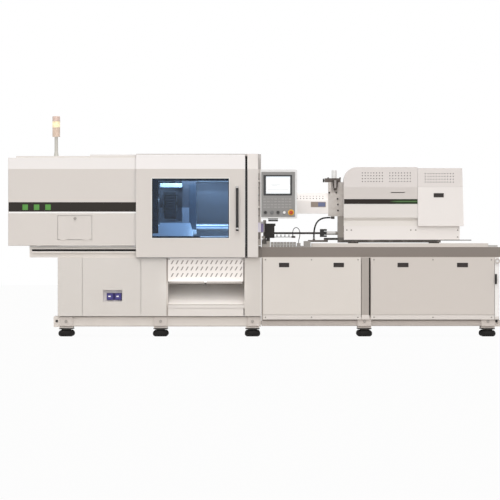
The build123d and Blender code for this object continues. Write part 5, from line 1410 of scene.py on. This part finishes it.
# %% [markdown]
# Each socket outlet has a sprung lid over its collar, with a hinge at its top.
# The lid is a slab with well rounded edges, and shines where it bulges.

# %% Socket lids
def pin(radius, reach):
    """The profile of a round pin that reaches as far to both sides."""
    return [(0.0, -reach), (radius, -reach), (radius, reach), (0.0, reach)]


lid_finish = moulded("socket_lid_blue", (58, 50, 122), 0.5)
lids = bmesh.new()
for x, z in SOCKETS:
    slab(lids, (x - 0.030, x + 0.030), (-0.5475, -0.5415), (z - 0.032, z + 0.024), 0.0028, 3)
    turned(lids, pin(0.0045, 0.024), (x, -0.5435, z + 0.028), "x", 12)
settle(lids, "socket_lids", "machine", lid_finish, smooth=True)
# Painted highlights: a white fleck on each lid.
blocks("socket_highlights", "machine", white_film,
       [((x - 0.018, x + 0.006), (-0.5480, -0.5470), (z - 0.004, z + 0.008), 0.0004, 1)
        for x, z in SOCKETS])

# %% [markdown]
# Rings of grey plastic part the lenses of the signal tower. A small closed profile
# is spun at each level, so that a ring has no open edge inside the lenses.

# %% Signal tower rings
TOWER = (-1.996, -0.367)
TOWER_LINE = [(0.0370, -0.0015), (0.0392, -0.0015), (0.0398, 0.0), (0.0392, 0.0015),
              (0.0370, 0.0015), (0.0370, -0.0015)]
lathed("tower_rings", "machine", moulded("tower_ring_grey", (206, 196, 184)),
       TOWER_LINE, [(*TOWER, level) for level in (1.9985, *LIT)], "z", 40)

# %% [markdown]
# The carriage screw has a trapezoidal thread. At this size closely set turned grooves read as one,
# and they make a closed mesh, where a true helix would be left open at its ends.

# %% Carriage screw
SCREW_LINE = (-0.307, 1.034)
SCREW_SPAN = (0.160, 1.034)
THREAD_PITCH = 0.006
CORE, CREST = 0.0092, 0.0109
OILY_TO = 0.7115

profile = [(0.0, SCREW_SPAN[0])]
for turn in range(int((SCREW_SPAN[1] - SCREW_SPAN[0]) / THREAD_PITCH)):
    low = SCREW_SPAN[0] + turn * THREAD_PITCH
    profile += [(CORE, low), (CORE, low + 0.0022), (CREST, low + 0.0032), (CREST, low + 0.0054)]
profile += [(CORE, SCREW_SPAN[1]), (0.0, SCREW_SPAN[1])]
thread = Finish("oiled_screw", (60, 55, 52), 0.32, 0.75)
thread.over(thread.x > OILY_TO, (178, 174, 170), 0.4, 0.1)
thread.bump(thread.noise(400, 2))
screw = bmesh.new()
turned(screw, profile, (0.0, *SCREW_LINE), "x", 16)
carriage_thread = settle(screw, "carriage_screw_thread", "carriage_screw", thread.done(0.1))
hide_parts("carriage_screw")

# %% [markdown]
# Side details of the small drive: link pins on the cable chain, plugs and a cable entry
# on the motor, and clamps on both ends of the coolant hose. The round ones are lathe profiles,
# and the plugs are slabs with well rounded edges.

# %% Chain pins, motor plugs and hose clamps
PIN_LINE = [(0.0, -0.0018), (0.0085, -0.0018), (0.0095, -0.0008), (0.0095, 0.001), (0.0, 0.001)]
ENTRY_LINE = [(0.0, 0.0), (0.010, 0.0), (0.012, 0.003), (0.012, 0.010), (0.008, 0.014), (0.0, 0.014)]
CLAMP_LINE = [(0.0078, -0.005), (0.0098, -0.005), (0.0098, 0.005), (0.0078, 0.005),
              (0.0078, -0.005)]

lathed("chain_pins", "machine", moulded("pin_grey", (176, 172, 166), 0.45), PIN_LINE,
       [(CHAIN_START + LINK_PITCH * link + 0.0145, -0.437, 0.920) for link in range(8)], "y", 16)

plugs = bmesh.new()
slab(plugs, (0.104, 0.134), (-0.257, -0.241), (1.082, 1.112), 0.004, 3)
slab(plugs, (0.148, 0.172), (-0.257, -0.246), (1.085, 1.109), 0.003, 3)
turned(plugs, ENTRY_LINE, (0.119, -0.242, 1.097), "y", 20)
settle(plugs, "motor_plugs", "machine", black_plastic, smooth=True)

clamps = bmesh.new()
turned(clamps, CLAMP_LINE, (0.584, -0.212, 0.984), "z", 24)
turned(clamps, CLAMP_LINE, (0.751, -0.097, 1.190), "x", 24)
settle(clamps, "hose_clamps", "carriage", bare_aluminium, smooth=True)

# %% [markdown]
# The linear rails are screwed down through counterbored holes, closed by black caps in a long row.
# They are thin turned discs, twelve steps each, because there are so many.

# %% Rail caps
DISC_LINE = [(0.0, 0.0004), (0.0065, 0.0004), (0.0070, -0.0004), (0.0, -0.0004)]
caps = bmesh.new()
for y in (MIDDLE_Y - 0.300, MIDDLE_Y + 0.300):
    for index in range(21):
        turned(caps, DISC_LINE, (0.640 + index * 0.080, y, 0.921), "z", 12)
settle(caps, "rail_caps", "machine", black_plastic)

# %% [markdown]
# Each heater band is pulled tight by a bolted lug underneath.
# The lugs show from below and through the gap under the barrel cover.

# %% Heater band clamps
lugs = bmesh.new()
for index in range(6):
    x = 0.078 + 0.105 * index + 0.048
    slab(lugs, (x - 0.030, x + 0.030), (MIDDLE_Y - 0.008, MIDDLE_Y + 0.008), (1.262, 1.274), 0.002)
    turned(lugs, pin(0.005, 0.012), (x, MIDDLE_Y, 1.266), "y", 12)
settle(lugs, "heater_lugs", "carriage", turned_steel, smooth=True)

# %% [markdown]
# Beside the operator panel's post stands the edge of the nozzle guard: a strip of violet tinted
# polycarbonate in a metal holder, fixed to the post. So little of the sheet shows
# that a glossy plastic in its tint does for it.

# %% Nozzle guard edge
blocks("nozzle_guard_edge", "machine", moulded("violet_polycarbonate", (152, 138, 186), 0.2),
       [((0.0545, 0.0780), (-0.500, -0.494), (1.044, 1.130), 0.002)])
blocks("nozzle_guard_holder", "machine", bare_aluminium,
       [((0.0542, 0.0800), (-0.494, -0.480), (1.035, 1.150), 0.002)])

# %% [markdown]
# Moulds are bolted to the platens' faces through rows of tapped holes with hardened rings.
# The rings are small lathe shapes, so they catch the light as the holes' rims do.

# %% Platen rings
AXIS_Z = 1.335
HOLE_LINE = [(0.010, -0.001), (0.010, 0.0015), (0.016, 0.0015), (0.018, -0.001), (0.010, -0.001)]
for name, face_x, out, body in (("fixed_platen_rings", -0.250, -1, "machine"),
                                ("moving_platen_rings", -0.591, 1, "moving_platen")):
    lathed(name, body, blackened, HOLE_LINE,
           [(face_x, MIDDLE_Y + across, AXIS_Z + up) for across in (-0.21, -0.07, 0.07, 0.21)
            for up in (-0.21, 0.21)], "x", 16, out)

# %% [markdown]
# The script ends by bringing the view layer up to date.

bpy.context.view_layer.update()
